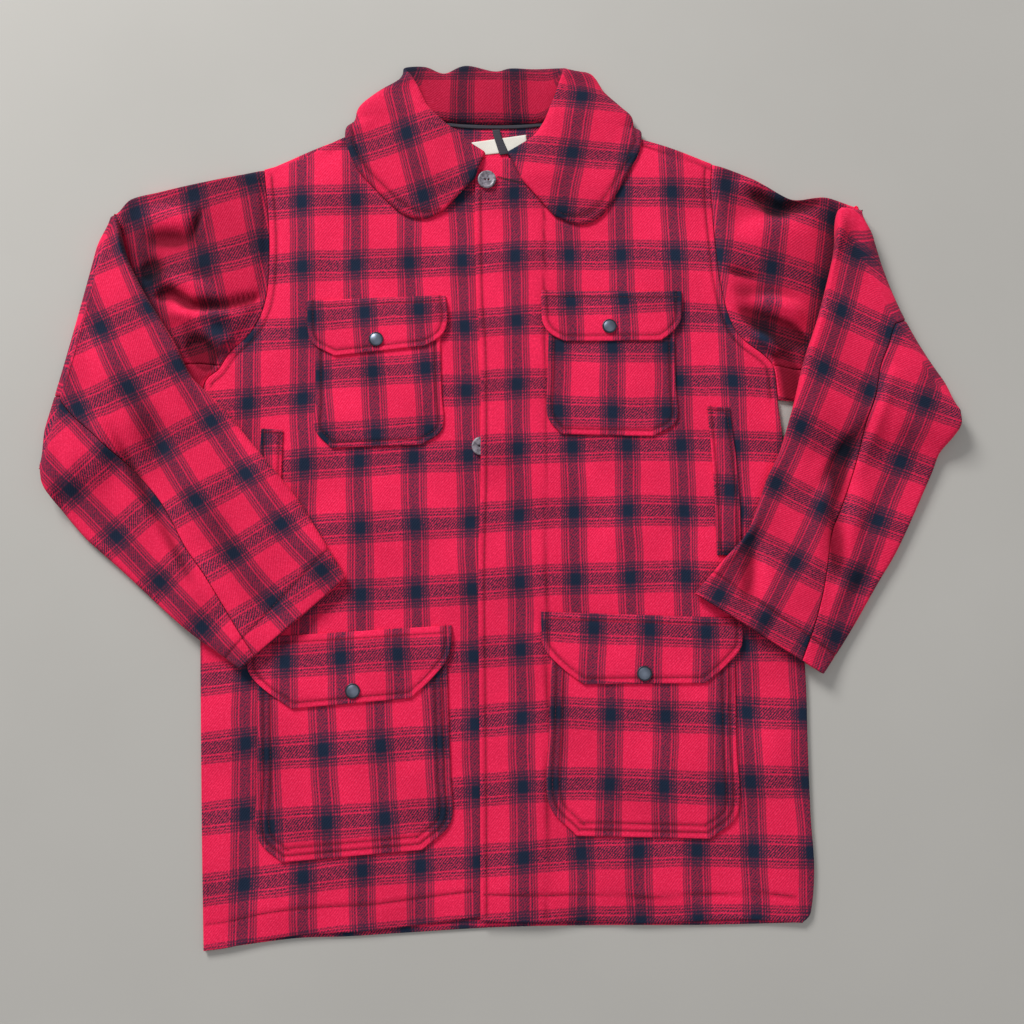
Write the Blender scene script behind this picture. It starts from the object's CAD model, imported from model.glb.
"""Mackinaw jacket in heavy checked wool, buttoned and laid flat on its back.

Tables are in millimetres on the model's frame: X runs to the jacket's own left, Y from hem to
collar, Z up from the surface. Right and left are the wearer's. Meshes are made in metres.
"""

from __future__ import annotations

import logging
import math
from dataclasses import dataclass, field
from enum import Enum
from typing import Any, Callable, Iterable, Sequence

import bpy
import numpy as np
from bpy.types import Material, Node, NodeSocket, NodeTree, Object
from mathutils import Matrix, Vector

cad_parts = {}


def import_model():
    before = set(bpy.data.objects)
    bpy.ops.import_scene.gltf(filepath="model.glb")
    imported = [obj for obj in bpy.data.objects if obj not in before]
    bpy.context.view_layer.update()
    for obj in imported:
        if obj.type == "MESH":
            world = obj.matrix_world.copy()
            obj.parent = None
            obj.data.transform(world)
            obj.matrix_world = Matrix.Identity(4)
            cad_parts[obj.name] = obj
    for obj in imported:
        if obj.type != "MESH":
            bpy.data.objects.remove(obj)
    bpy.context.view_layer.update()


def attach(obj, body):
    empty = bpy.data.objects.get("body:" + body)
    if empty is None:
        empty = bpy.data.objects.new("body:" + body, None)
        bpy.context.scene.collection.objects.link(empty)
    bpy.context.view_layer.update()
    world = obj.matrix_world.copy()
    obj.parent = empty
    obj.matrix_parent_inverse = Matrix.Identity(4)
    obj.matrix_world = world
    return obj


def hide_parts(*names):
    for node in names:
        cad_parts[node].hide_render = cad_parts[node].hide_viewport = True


LOG = logging.getLogger("mackinaw_jacket")
MM = 0.001

Array = np.ndarray
Place = Callable[[Array], Array]
Height = Callable[[Array, Array], Array]

CLOTH = 2.2
COLLAR_CLOTH = 2.6
PLY_GAP = 0.4
SEAM_GAP = 0.4
PANEL_AIR = 1.1
EDGE_FALL = 32.0
NECK_LIFT = COLLAR_CLOTH + 0.5
ARM_HEIGHT = 8.0
FOLD_RADIUS = 10.0
CREASE_RADIUS = 1.2
BUTTON_DIAMETER = 19.5
BUTTON_THICKNESS = 3.0
SNAP_DIAMETER = 15.0
SNAP_HEIGHT = 2.4
FLY_EDGE_X = 20.0
SLEEVE_EDGE = 4.5
ARMHOLE_GAP = 0.35
CHECK = (56.0, 69.0)    # the check's repeat, across and along
LINE_STEP = 1.5


class Held(Enum):
    LAID = "laid"
    FOLDED = "folded"


class Slot(Enum):
    """Material slots of the record."""

    WOOL = "wool_cloth"
    BINDING = "binding"
    LABEL = "label_cloth"
    BUTTON = "button"
    SNAP = "snap_cap"


# ---- curves and heights


def smoothstep(value: Array, low: float, high: float) -> Array:
    """Returns 0 below low, 1 above high and a soft rise between."""
    t = np.clip((np.asarray(value, float) - low) / (high - low), 0, 1)
    return t * t * (3 - 2 * t)


def curve_through(rows: Sequence[Sequence[float]]) -> Place:
    """Makes a smooth curve through table rows.

    Args:
        rows: the place along the curve, then the values there.

    Returns:
        A function from places to values.
    """
    cells = np.asarray(rows, float)
    places, values = cells[:, 0], cells[:, 1:]
    last = len(places) - 1
    before = np.maximum(np.arange(last + 1) - 1, 0)
    after = np.minimum(np.arange(last + 1) + 1, last)
    slopes = (values[after] - values[before]) / (places[after] - places[before])[:, None]

    def at(t: Array) -> Array:
        """Returns the values at places t.

        Args:
            t: the places.

        Returns:
            One row of values for each place.
        """
        t = np.asarray(t, float)
        k = np.clip(np.searchsorted(places, t, side="left") - 1, 0, last - 1)
        span = (places[k + 1] - places[k])[..., None]
        s = np.clip((t - places[k])[..., None] / span, 0, 1)
        rise = s * s * (3 - 2 * s)
        bend = (1 - s) * slopes[k] - s * slopes[k + 1]
        return values[k] + (values[k + 1] - values[k]) * rise + span * s * (1 - s) * bend

    return at


def even_curve(rows: Sequence[Sequence[float]]) -> Place:
    """Makes a smooth curve through rows that are evenly spaced from 0 to 1."""
    return curve_through([[k / (len(rows) - 1), *row] for k, row in enumerate(rows)])


def depth_inside(outline: Array, x: Array, y: Array) -> Array:
    """Finds the distance inside a closed outline, negative outside it.

    Args:
        outline: the outline's corners, one row each.
        x: places across.
        y: places along, of the same shape.

    Returns:
        The distances, of the same shape.
    """
    a = np.asarray(outline, float)
    b = np.roll(a, -1, axis=0)
    d = b - a
    shape = np.shape(x)
    px, py = np.ravel(x)[:, None], np.ravel(y)[:, None]
    t = np.clip(((px - a[:, 0]) * d[:, 0] + (py - a[:, 1]) * d[:, 1]) / (d**2).sum(axis=1), 0, 1)
    near = np.hypot(px - a[:, 0] - t * d[:, 0], py - a[:, 1] - t * d[:, 1]).min(axis=1)
    rise = np.where(d[:, 1] == 0, 1e-9, d[:, 1])
    crossed = ((a[:, 1] > py) != (b[:, 1] > py)) & (px < a[:, 0] + (py - a[:, 1]) * d[:, 0] / rise)
    return np.where(crossed.sum(axis=1) % 2 == 1, near, -near).reshape(shape)


def fold_height(folds: Sequence[Sequence[float]], x: Array, y: Array) -> Array:
    """Adds up soft folds.

    Args:
        folds: rows of start x and y, end x and y, half width and height.
        x: places across.
        y: places along.

    Returns:
        The height of the folds at each place.
    """
    total = np.zeros(np.shape(x))
    for from_x, from_y, to_x, to_y, width, height in folds:
        dx, dy = to_x - from_x, to_y - from_y
        along = np.clip(((x - from_x) * dx + (y - from_y) * dy) / (dx * dx + dy * dy), 0, 1)
        away = np.hypot(x - from_x - along * dx, y - from_y - along * dy) / width
        total = total + height * np.exp(-away * away) * (0.35 + 0.65 * np.sin(np.pi * along))
    return total


def stations(
    length: float, step: float, lines: Iterable[float] = (), rim: bool = True
) -> Array:
    """Spaces places along a length, closer at both ends and beside each stitch line.

    Args:
        length: the length in millimetres.
        step: the widest spacing.
        lines: where stitch lines run.
        rim: whether the ends get the close places of a rounded edge.

    Returns:
        The places in millimetres, from 0 to length.
    """
    marks = {0.0, length}
    if rim:
        marks |= {place for d in (0.25, 0.8, 1.7) for place in (d, length - d)}
    marks |= {line + d for line in lines for d in (-2.6, -1.2, 0.0, 1.2, 2.6)}
    kept: list[float] = []
    for mark in sorted(m for m in marks if 0 <= m <= length):
        if not kept or mark - kept[-1] > 0.2:
            kept.append(mark)
    filled = [kept[0]]
    for mark in kept[1:]:
        count = max(1, math.ceil((mark - filled[-1]) / step))
        filled += list(np.linspace(filled[-1], mark, count + 1)[1:])
    return np.asarray(filled)


def fitted(places: Array, widths: Array, start: float, end: float) -> Array:
    """Fits places to rows of other widths, keeping their distance from both ends.

    Args:
        places: places on the widest row, in millimetres.
        widths: the width of each row.
        start: how much at the start keeps its size.
        end: how much at the end keeps its size.

    Returns:
        One row of fractions of the width for each row.
    """
    full = places[-1]
    wide = np.asarray(widths, float)[:, None]
    squeeze = np.minimum(1.0, 0.9 * wide / (start + end))
    a, b = start * squeeze, end * squeeze
    middle = a + (places - start) * (wide - a - b) / (full - start - end)
    fit = np.where(places < start, places * squeeze, middle)
    fit = np.where(places > full - end, wide - (full - places) * squeeze, fit)
    return fit / wide


# ---- shape of the jacket

RIGHT_OUTER = curve_through([
    [0, -284.5, -427], [0.13, -289.7, -333], [0.27, -294.5, -237], [0.42, -299.5, -130],
    [0.56, -303.5, -9], [0.66, -306.5, 128], [0.7, -291.3, 149], [0.74, -280.5, 167],
    [0.79, -263.2, 184], [0.84, -251.6, 203], [0.89, -244.5, 229], [0.93, -243, 262],
    [0.97, -244.8, 309], [1, -251.5, 367.5]])
LEFT_OUTER = curve_through([
    [0, 292, -401], [0.03, 300.5, -391], [0.08, 305.5, -350], [0.14, 304, -304],
    [0.24, 303.7, -237], [0.36, 304, -160], [0.52, 298.5, -58], [0.62, 291.6, 58],
    [0.67, 286, 116], [0.71, 283, 150], [0.74, 274, 163], [0.79, 252, 181], [0.84, 239, 203],
    [0.89, 229.7, 245], [0.93, 225.7, 291], [0.97, 222.8, 344], [1, 224.7, 374]])
LEFT_FRONT_EDGE = curve_through([
    [0, -18.3, -398.7], [0.13, -19.2, -285], [0.24, -20.4, -189], [0.4, -21.8, -50],
    [0.49, -20, 32], [0.6, -20.4, 134], [0.66, -21.7, 179], [0.71, -25, 225],
    [0.77, -26.4, 294], [0.8, -27, 340], [0.82, -26.5, 366], [0.835, -19, 376],
    [0.86, 6, 376.8], [0.89, 35, 378.5], [0.92, 56, 387.5], [0.95, 68, 400],
    [0.975, 72, 411], [1, 71, 419.5]])
RIGHT_FRONT_EDGE = curve_through([
    [0, 20, -393], [0.45, 20, 0], [0.79, 20, 340], [0.81, 17, 368], [0.83, 6, 375.5],
    [0.86, -17, 376.5], [0.89, -42, 377], [0.92, -64, 385], [0.95, -79, 398],
    [0.975, -87, 410], [1, -88, 419.5]])
RIGHT_HEM = even_curve([
    [-284.5, -427], [-262, -424], [-229, -417], [-198, -413], [-165, -410.5], [-126, -408.5],
    [-89, -404], [-50, -399], [-18, -395.5], [20, -393]])
LEFT_HEM = even_curve([
    [292, -401], [263, -399], [229, -397.6], [181, -399.5], [135, -401.3], [97, -399],
    [39, -399.8], [-18.3, -398.7]])
RIGHT_SHOULDER = even_curve([
    [-251.5, 367.5], [-210, 380], [-168, 402], [-128, 414], [-88, 419.5]])
LEFT_SHOULDER = even_curve([
    [224.7, 374], [187, 388.5], [149.7, 400.5], [109, 413], [71, 419.5]])
BACK_HEM = even_curve([
    [-283, -427.5], [-199, -416.5], [-146, -414.5], [-89, -411], [0, -406], [97, -404.2],
    [194, -404], [291, -401.8]])
BACK_TOP = curve_through([
    [0, -251.5, 367.5], [0.18, -166, 402.5], [0.36, -80, 423], [0.42, -55, 422],
    [0.5, -8, 420], [0.58, 38, 421], [0.65, 62, 422], [0.82, 149.7, 400.5], [1, 224.7, 374]])


def body_outline() -> Array:
    """Returns the outline of the jacket's body, without sleeves and collar.

    Returns:
        The corners, one row each.
    """
    return np.vstack([
        RIGHT_OUTER(np.arange(26) / 26), BACK_TOP(np.arange(12) / 12),
        LEFT_OUTER(1 - np.arange(26) / 26), BACK_HEM(1 - np.arange(8) / 8)])


BODY_OUTLINE = body_outline()

# Start x and y, end x and y, half width, height.
BODY_FOLDS = [
    [-192, 330, -205, 215, 16, 1.3], [-168, 300, -172, 235, 14, -0.7],
    [170, 330, 195, 230, 18, 1.2], [-262, 120, -215, 190, 15, 1.1],
    [265, 110, 205, 170, 14, 1.0], [-262, -240, -270, -390, 22, 1.5],
    [262, -200, 268, -330, 18, 1.6], [238, -350, 258, -250, 12, -0.8],
    [-110, -372, -118, -405, 18, 1.0], [150, -360, 155, -395, 20, 0.9],
    [-35, -150, -30, 60, 16, 0.7], [20, -360, 24, -200, 14, -0.5], [255, -20, 275, 60, 14, 1.4]]

# Slight hollows and rises of thick wool that has been folded and laid out again.
BODY_RIPPLES = [
    [-120, 250, -170, 320, 26, 0.5], [-95, 40, -215, 55, 22, -0.45], [-60, -40, -205, -20, 26, 0.4],
    [90, 40, 190, 62, 24, -0.4], [70, -30, 210, -55, 30, 0.45], [-250, -60, -262, 70, 16, -0.5],
    [100, 250, 165, 330, 24, 0.4], [-70, -360, -80, -250, 22, 0.35],
    [120, -350, 210, -330, 18, 0.5],
    [250, -120, 262, -190, 16, -0.5], [15, 120, 22, 300, 12, 0.3], [30, -200, 28, 40, 12, -0.3]]


def back_underside(x: Array, y: Array) -> Array:
    """Returns the underside of the back, which rests on the collar fall near the neck."""
    return NECK_LIFT * smoothstep(y, 310, 358) * (1 - smoothstep(np.abs(x + 8), 176, 238))


def front_underside(x: Array, y: Array) -> Array:
    """Returns the underside of a front, which stands a little off the back inside its edges.

    Args:
        x: places across.
        y: places along.

    Returns:
        The heights.
    """
    inner = smoothstep(depth_inside(BODY_OUTLINE, x, y), 1, EDGE_FALL)
    rise = PANEL_AIR + fold_height(BODY_FOLDS, x, y) + 0.7 * fold_height(BODY_RIPPLES, x, y)
    return back_underside(x, y) + CLOTH + PLY_GAP + inner * np.maximum(rise, 0.2)


SECOND_BUTTON = (-19.5, 67.0)
TOP_BUTTON = (-14.4, 352.1)


def left_front_underside(x: Array, y: Array) -> Array:
    """Returns the underside of the left front, which laps the right one along the fly.

    Args:
        x: places across.
        y: places along.

    Returns:
        The heights.
    """
    fly = (CLOTH + 2 * PLY_GAP) * (1 - smoothstep(x, FLY_EDGE_X + 4, FLY_EDGE_X + 64))
    reach = np.hypot(x - SECOND_BUTTON[0], y - SECOND_BUTTON[1])
    over = (BUTTON_THICKNESS + 1) * (1 - smoothstep(reach, BUTTON_DIAMETER * 0.62, 48))
    return front_underside(x, y) + fly + over


def right_top(x: Array, y: Array) -> Array:
    """Returns the face of the right front."""
    return front_underside(x, y) + CLOTH


def left_top(x: Array, y: Array) -> Array:
    """Returns the face of the left front."""
    return left_front_underside(x, y) + CLOTH


# ---- check and stitching


@dataclass(frozen=True)
class CheckChart:
    """Where the woven check lies on a piece: a turn, a scale and the place of one crossing."""

    turn: float
    scale: float
    crossing: tuple[float, float]

    def on(self, points: Array) -> Array:
        """Returns the cloth coordinates of plan points, with a dark crossing at 0, 0.

        Args:
            points: the plan points.

        Returns:
            Places across and along the cloth.
        """
        t = math.radians(self.turn)
        across = points[..., 0] * math.cos(t) + points[..., 1] * math.sin(t)
        along = points[..., 1] * math.cos(t) - points[..., 0] * math.sin(t)
        return (np.stack([across, along], axis=-1) - self.crossing) / self.scale


@dataclass(frozen=True)
class BentChart:
    """A check that bends with its panel, by the terms 1, x, y, x*x, x*y and y*y in decimetres."""

    across: tuple[float, ...]
    along: tuple[float, ...]

    def on(self, points: Array) -> Array:
        """Returns the cloth coordinates of plan points, with a dark crossing at 0, 0.

        Args:
            points: the plan points.

        Returns:
            Places across and along the cloth.
        """
        x, y = points[..., 0] / 100, points[..., 1] / 100
        terms = np.stack([np.ones_like(x), x, y, x * x, x * y, y * y, x * y * y, y**3], axis=-1)
        sides = [terms[..., : len(side)] @ np.asarray(side) for side in (self.across, self.along)]
        return np.stack(sides, axis=-1)


def resampled(points: Array, step: float) -> Array:
    """Spaces a line's points evenly.

    Args:
        points: the line's points, one row each.
        step: the spacing.

    Returns:
        The evenly spaced points.
    """
    reach = np.concatenate([[0], np.cumsum(np.linalg.norm(np.diff(points, axis=0), axis=1))])
    places = np.linspace(0, reach[-1], max(2, int(reach[-1] / step) + 1))
    return np.stack([np.interp(places, reach, column) for column in points.T], axis=-1)


def inset(points: Array, distance: float) -> Array:
    """Moves a plan line sideways, to the right of its direction for a positive distance.

    Args:
        points: the line's points.
        distance: how far it moves.

    Returns:
        The moved line.
    """
    line = resampled(points, LINE_STEP)
    way = np.gradient(line, axis=0)
    way /= np.maximum(np.linalg.norm(way, axis=1, keepdims=True), 1e-9)
    right = np.stack([way[:, 1], -way[:, 0]], axis=-1)
    return resampled(line + distance * right, LINE_STEP)


def laid_line(points: Array, height: Height) -> Array:
    """Lays a plan line on a surface."""
    line = resampled(np.asarray(points, float), LINE_STEP)
    return np.column_stack([line, height(line[:, 0], line[:, 1])])


def nearness(points: Array, lines: Sequence[Array], width: float) -> Array:
    """Tells how near points lie to any of the stitch lines.

    Args:
        points: a grid of points.
        lines: the stitch lines.
        width: the distance over which the nearness falls off.

    Returns:
        A grid of values from 0, far away, to 1, on a line.
    """
    flat = points.reshape(-1, 3)
    best = np.full(len(flat), 1e9)
    for line in lines:
        low, high = line.min(axis=0) - 3 * width, line.max(axis=0) + 3 * width
        near = np.flatnonzero(np.all((flat[:, :2] > low[:2]) & (flat[:, :2] < high[:2]), axis=1))
        for part in np.array_split(near, max(1, len(near) // 4000)):
            away = np.linalg.norm(flat[part][:, None, :] - line[None, :, :], axis=2)
            best[part] = np.minimum(best[part], away.min(axis=1, initial=1e9))
    return np.exp(-((best / width) ** 2)).reshape(points.shape[:2])


def offset_grid(grid: Array, distance: float, closed: bool = False) -> Array:
    """Moves a grid of points along its normals, to the other side of the cloth.

    Args:
        grid: the points.
        distance: how far they move.
        closed: whether the last column meets the first.

    Returns:
        The moved grid.
    """
    down = np.empty_like(grid)
    down[1:-1] = grid[2:] - grid[:-2]
    down[0], down[-1] = grid[1] - grid[0], grid[-1] - grid[-2]
    if closed:
        across = np.roll(grid, -1, axis=1) - np.roll(grid, 1, axis=1)
    else:
        across = np.empty_like(grid)
        across[:, 1:-1] = grid[:, 2:] - grid[:, :-2]
        across[:, 0], across[:, -1] = grid[:, 1] - grid[:, 0], grid[:, -1] - grid[:, -2]
    normal = np.cross(down, across)
    normal /= np.maximum(np.linalg.norm(normal, axis=2, keepdims=True), 1e-9)
    return grid + normal * distance


def drawn_in(grid: Array, gap: float) -> Array:
    """Draws the first and last column in, to leave a seam's clear space.

    Args:
        grid: the points.
        gap: the space at each side.

    Returns:
        The narrower grid.
    """
    out = grid.copy()
    for edge, inward in ((0, 1), (-1, -2)):
        step = grid[:, inward] - grid[:, edge]
        out[:, edge] += step * gap / np.maximum(np.linalg.norm(step, axis=1, keepdims=True), gap)
    return out


def linked(name: str, data: Any) -> Object:
    """Makes an object of its data and links it to the scene.

    Args:
        name: the object's name.
        data: its mesh, light or camera.

    Returns:
        The object.
    """
    made = bpy.data.objects.new(name, data)
    bpy.context.scene.collection.objects.link(made)
    return made


def mesh_object(
    name: str, points: Array, faces: Array, material: Material
) -> Object:
    """Makes a smooth-shaded object from points in millimetres.

    Args:
        name: the piece's name.
        points: the corners, one row each.
        faces: the quads or triangles, one row each.
        material: the piece's finish.

    Returns:
        The object, at the origin.
    """
    mesh = bpy.data.meshes.new(name)
    mesh.from_pydata((points * MM).tolist(), [], faces.tolist())
    mesh.materials.append(material)
    mesh.polygons.foreach_set("use_smooth", [True] * len(mesh.polygons))
    mesh.update()
    return linked(name, mesh)


@dataclass
class ClothPiece:
    """One sewn piece: two grids of points, one on each side of the cloth, and its check."""

    name: str
    face: Array
    back: Array
    chart: Array
    other_chart: Array | None = None
    uses_other: Array | None = None
    lines: list[Array] = field(default_factory=list)
    press: float = 0.6
    rim: float = 1.8
    hollow: Array | None = None

    def edge_fullness(self) -> Array:
        """Returns how thick the cloth is at each point, from its rounded edge inwards.

        Returns:
            Parts of the full thickness.
        """
        across = np.linalg.norm(np.diff(self.face, axis=1), axis=2)
        along = np.linalg.norm(np.diff(self.face, axis=0), axis=2)
        from_left = np.pad(np.cumsum(across, axis=1), ((0, 0), (1, 0)))
        from_top = np.pad(np.cumsum(along, axis=0), ((1, 0), (0, 0)))
        away = np.minimum.reduce([
            from_left, from_left[:, -1:] - from_left, from_top, from_top[-1:] - from_top])
        near = 1 - np.minimum(away / self.rim, 1)
        return 0.22 + 0.78 * np.sqrt(1 - near * near)

    def cut(self) -> tuple[tuple[float, float], float]:
        """Returns the flat width and length and the area of the cut piece, in metres.

        Returns:
            The width and length, then the area.
        """
        middle = (self.face + self.back) / 2
        width = np.linalg.norm(np.diff(middle, axis=1), axis=2).sum(axis=1).max()
        length = np.linalg.norm(np.diff(middle, axis=0), axis=2).sum(axis=0).max()
        a = middle[1:, 1:] - middle[:-1, :-1]
        b = middle[1:, :-1] - middle[:-1, 1:]
        area = np.linalg.norm(np.cross(a, b), axis=2).sum() / 2
        return (float(width) * MM, float(length) * MM), float(area) * MM * MM

    def build(self, material: Material) -> Object:
        """Builds the piece, its stitch lines pressed in and its edges rounded.

        Args:
            material: the cloth's finish.

        Returns:
            The object, with the UV map "cloth" and the attribute "groove".
        """
        groove = nearness(self.face, self.lines, 1.7)
        wall = self.face - self.back
        way = wall / np.maximum(np.linalg.norm(wall, axis=2, keepdims=True), 1e-9)
        face = self.face - way * (groove * self.press)[..., None]
        middle, half = (face + self.back) / 2, (face - self.back) / 2
        half = half * self.edge_fullness()[..., None]
        rows, columns = face.shape[:2]
        points = np.concatenate([(middle + half).reshape(-1, 3), (middle - half).reshape(-1, 3)])
        index = np.arange(rows * columns).reshape(rows, columns)
        a, b = index[:-1, :-1].ravel(), index[:-1, 1:].ravel()
        c, d = index[1:, 1:].ravel(), index[1:, :-1].ravel()
        under = rows * columns
        top, bottom, left, right = index[0], index[-1], index[:, 0], index[:, -1]
        faces = np.concatenate([
            np.column_stack([a, b, c, d]), np.column_stack([a, d, c, b]) + under,
            np.column_stack([top[:-1], top[:-1] + under, top[1:] + under, top[1:]]),
            np.column_stack([bottom[:-1], bottom[1:], bottom[1:] + under, bottom[:-1] + under]),
            np.column_stack([left[:-1], left[1:], left[1:] + under, left[:-1] + under]),
            np.column_stack([right[:-1], right[:-1] + under, right[1:] + under, right[1:]])])
        p = points[faces]
        turn = np.einsum("ij,ij->i", p[:, 0], np.cross(p[:, 1] - p[:, 0], p[:, 2] - p[:, 0]) +
                         np.cross(p[:, 2] - p[:, 0], p[:, 3] - p[:, 0]))
        if turn.sum() < 0:
            faces = faces[:, ::-1]
        piece = mesh_object(self.name, points, faces, material)
        self.lay_chart(piece, faces, rows, columns)
        depth = piece.data.attributes.new("groove", "FLOAT", "POINT")
        shaded = 0.62 * groove if self.hollow is None else np.maximum(0.62 * groove, self.hollow)
        depth.data.foreach_set("value", np.concatenate([shaded.ravel(), np.zeros(under)]))
        return piece

    def lay_chart(
        self, piece: Object, faces: Array, rows: int, columns: int
    ) -> None:
        """Writes the check's cloth coordinates to the UV map, in metres.

        Args:
            piece: the built object.
            faces: its faces.
            rows: rows of the grid.
            columns: columns of the grid.
        """
        place = faces % (rows * columns)
        uv = self.chart.reshape(-1, 2)[place]
        if self.other_chart is not None:
            other = self.other_chart.reshape(-1, 2)[place]
            row = np.minimum((place // columns).min(axis=1), rows - 2)
            column = np.minimum((place % columns).min(axis=1), columns - 2)
            uv = np.where(self.uses_other[row, column][:, None, None], other, uv)
        layer = piece.data.uv_layers.new(name="cloth")
        layer.data.foreach_set("uv", (uv * MM).reshape(-1))


# ---- finishes


def linear(code: str) -> tuple[float, float, float, float]:
    """Turns an sRGB hex colour into a linear one with full alpha.

    Args:
        code: the hex colour.

    Returns:
        Red, green, blue and alpha.
    """
    parts = [int(code[k:k + 2], 16) / 255 for k in (1, 3, 5)]
    r, g, b = (c / 12.92 if c <= 0.04045 else ((c + 0.055) / 1.055) ** 2.4 for c in parts)
    return (r, g, b, 1.0)


def add_node(
    tree: NodeTree, kind: str, inputs: dict[Any, Any] | None = None,
    stops: Sequence[tuple[float, str]] = (), **settings: Any,
) -> Node:
    """Adds one node to a tree, with its settings and links.

    Args:
        tree: the node tree.
        kind: the node's type.
        inputs: values, output sockets or nodes, which stand for their first output, by the
            name or number of the input.
        stops: places and hex colours of a colour ramp.
        settings: the node's own properties.

    Returns:
        The node.
    """
    node = tree.nodes.new(kind)
    for key, value in settings.items():
        setattr(node, key, value)
    for key, value in (inputs or {}).items():
        if isinstance(value, (Node, NodeSocket)):
            output = value.outputs[0] if isinstance(value, Node) else value
            tree.links.new(output, node.inputs[key])
        else:
            node.inputs[key].default_value = value
    for k, (place, code) in enumerate(stops):
        ramp = node.color_ramp
        stop = ramp.elements[k] if k < len(ramp.elements) else ramp.elements.new(place)
        stop.position, stop.color = place, linear(code)
    return node


def new_material(name: str, view: str) -> tuple[Material, NodeTree]:
    """Starts a material.

    Args:
        name: the real material and how it is made.
        view: the hex colour that stands for it in a plain viewport.

    Returns:
        The material and its empty node tree.
    """
    material = bpy.data.materials.new(name)
    material.use_nodes = True
    material.diffuse_color = linear(view)
    material.node_tree.nodes.clear()
    return material, material.node_tree


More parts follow.
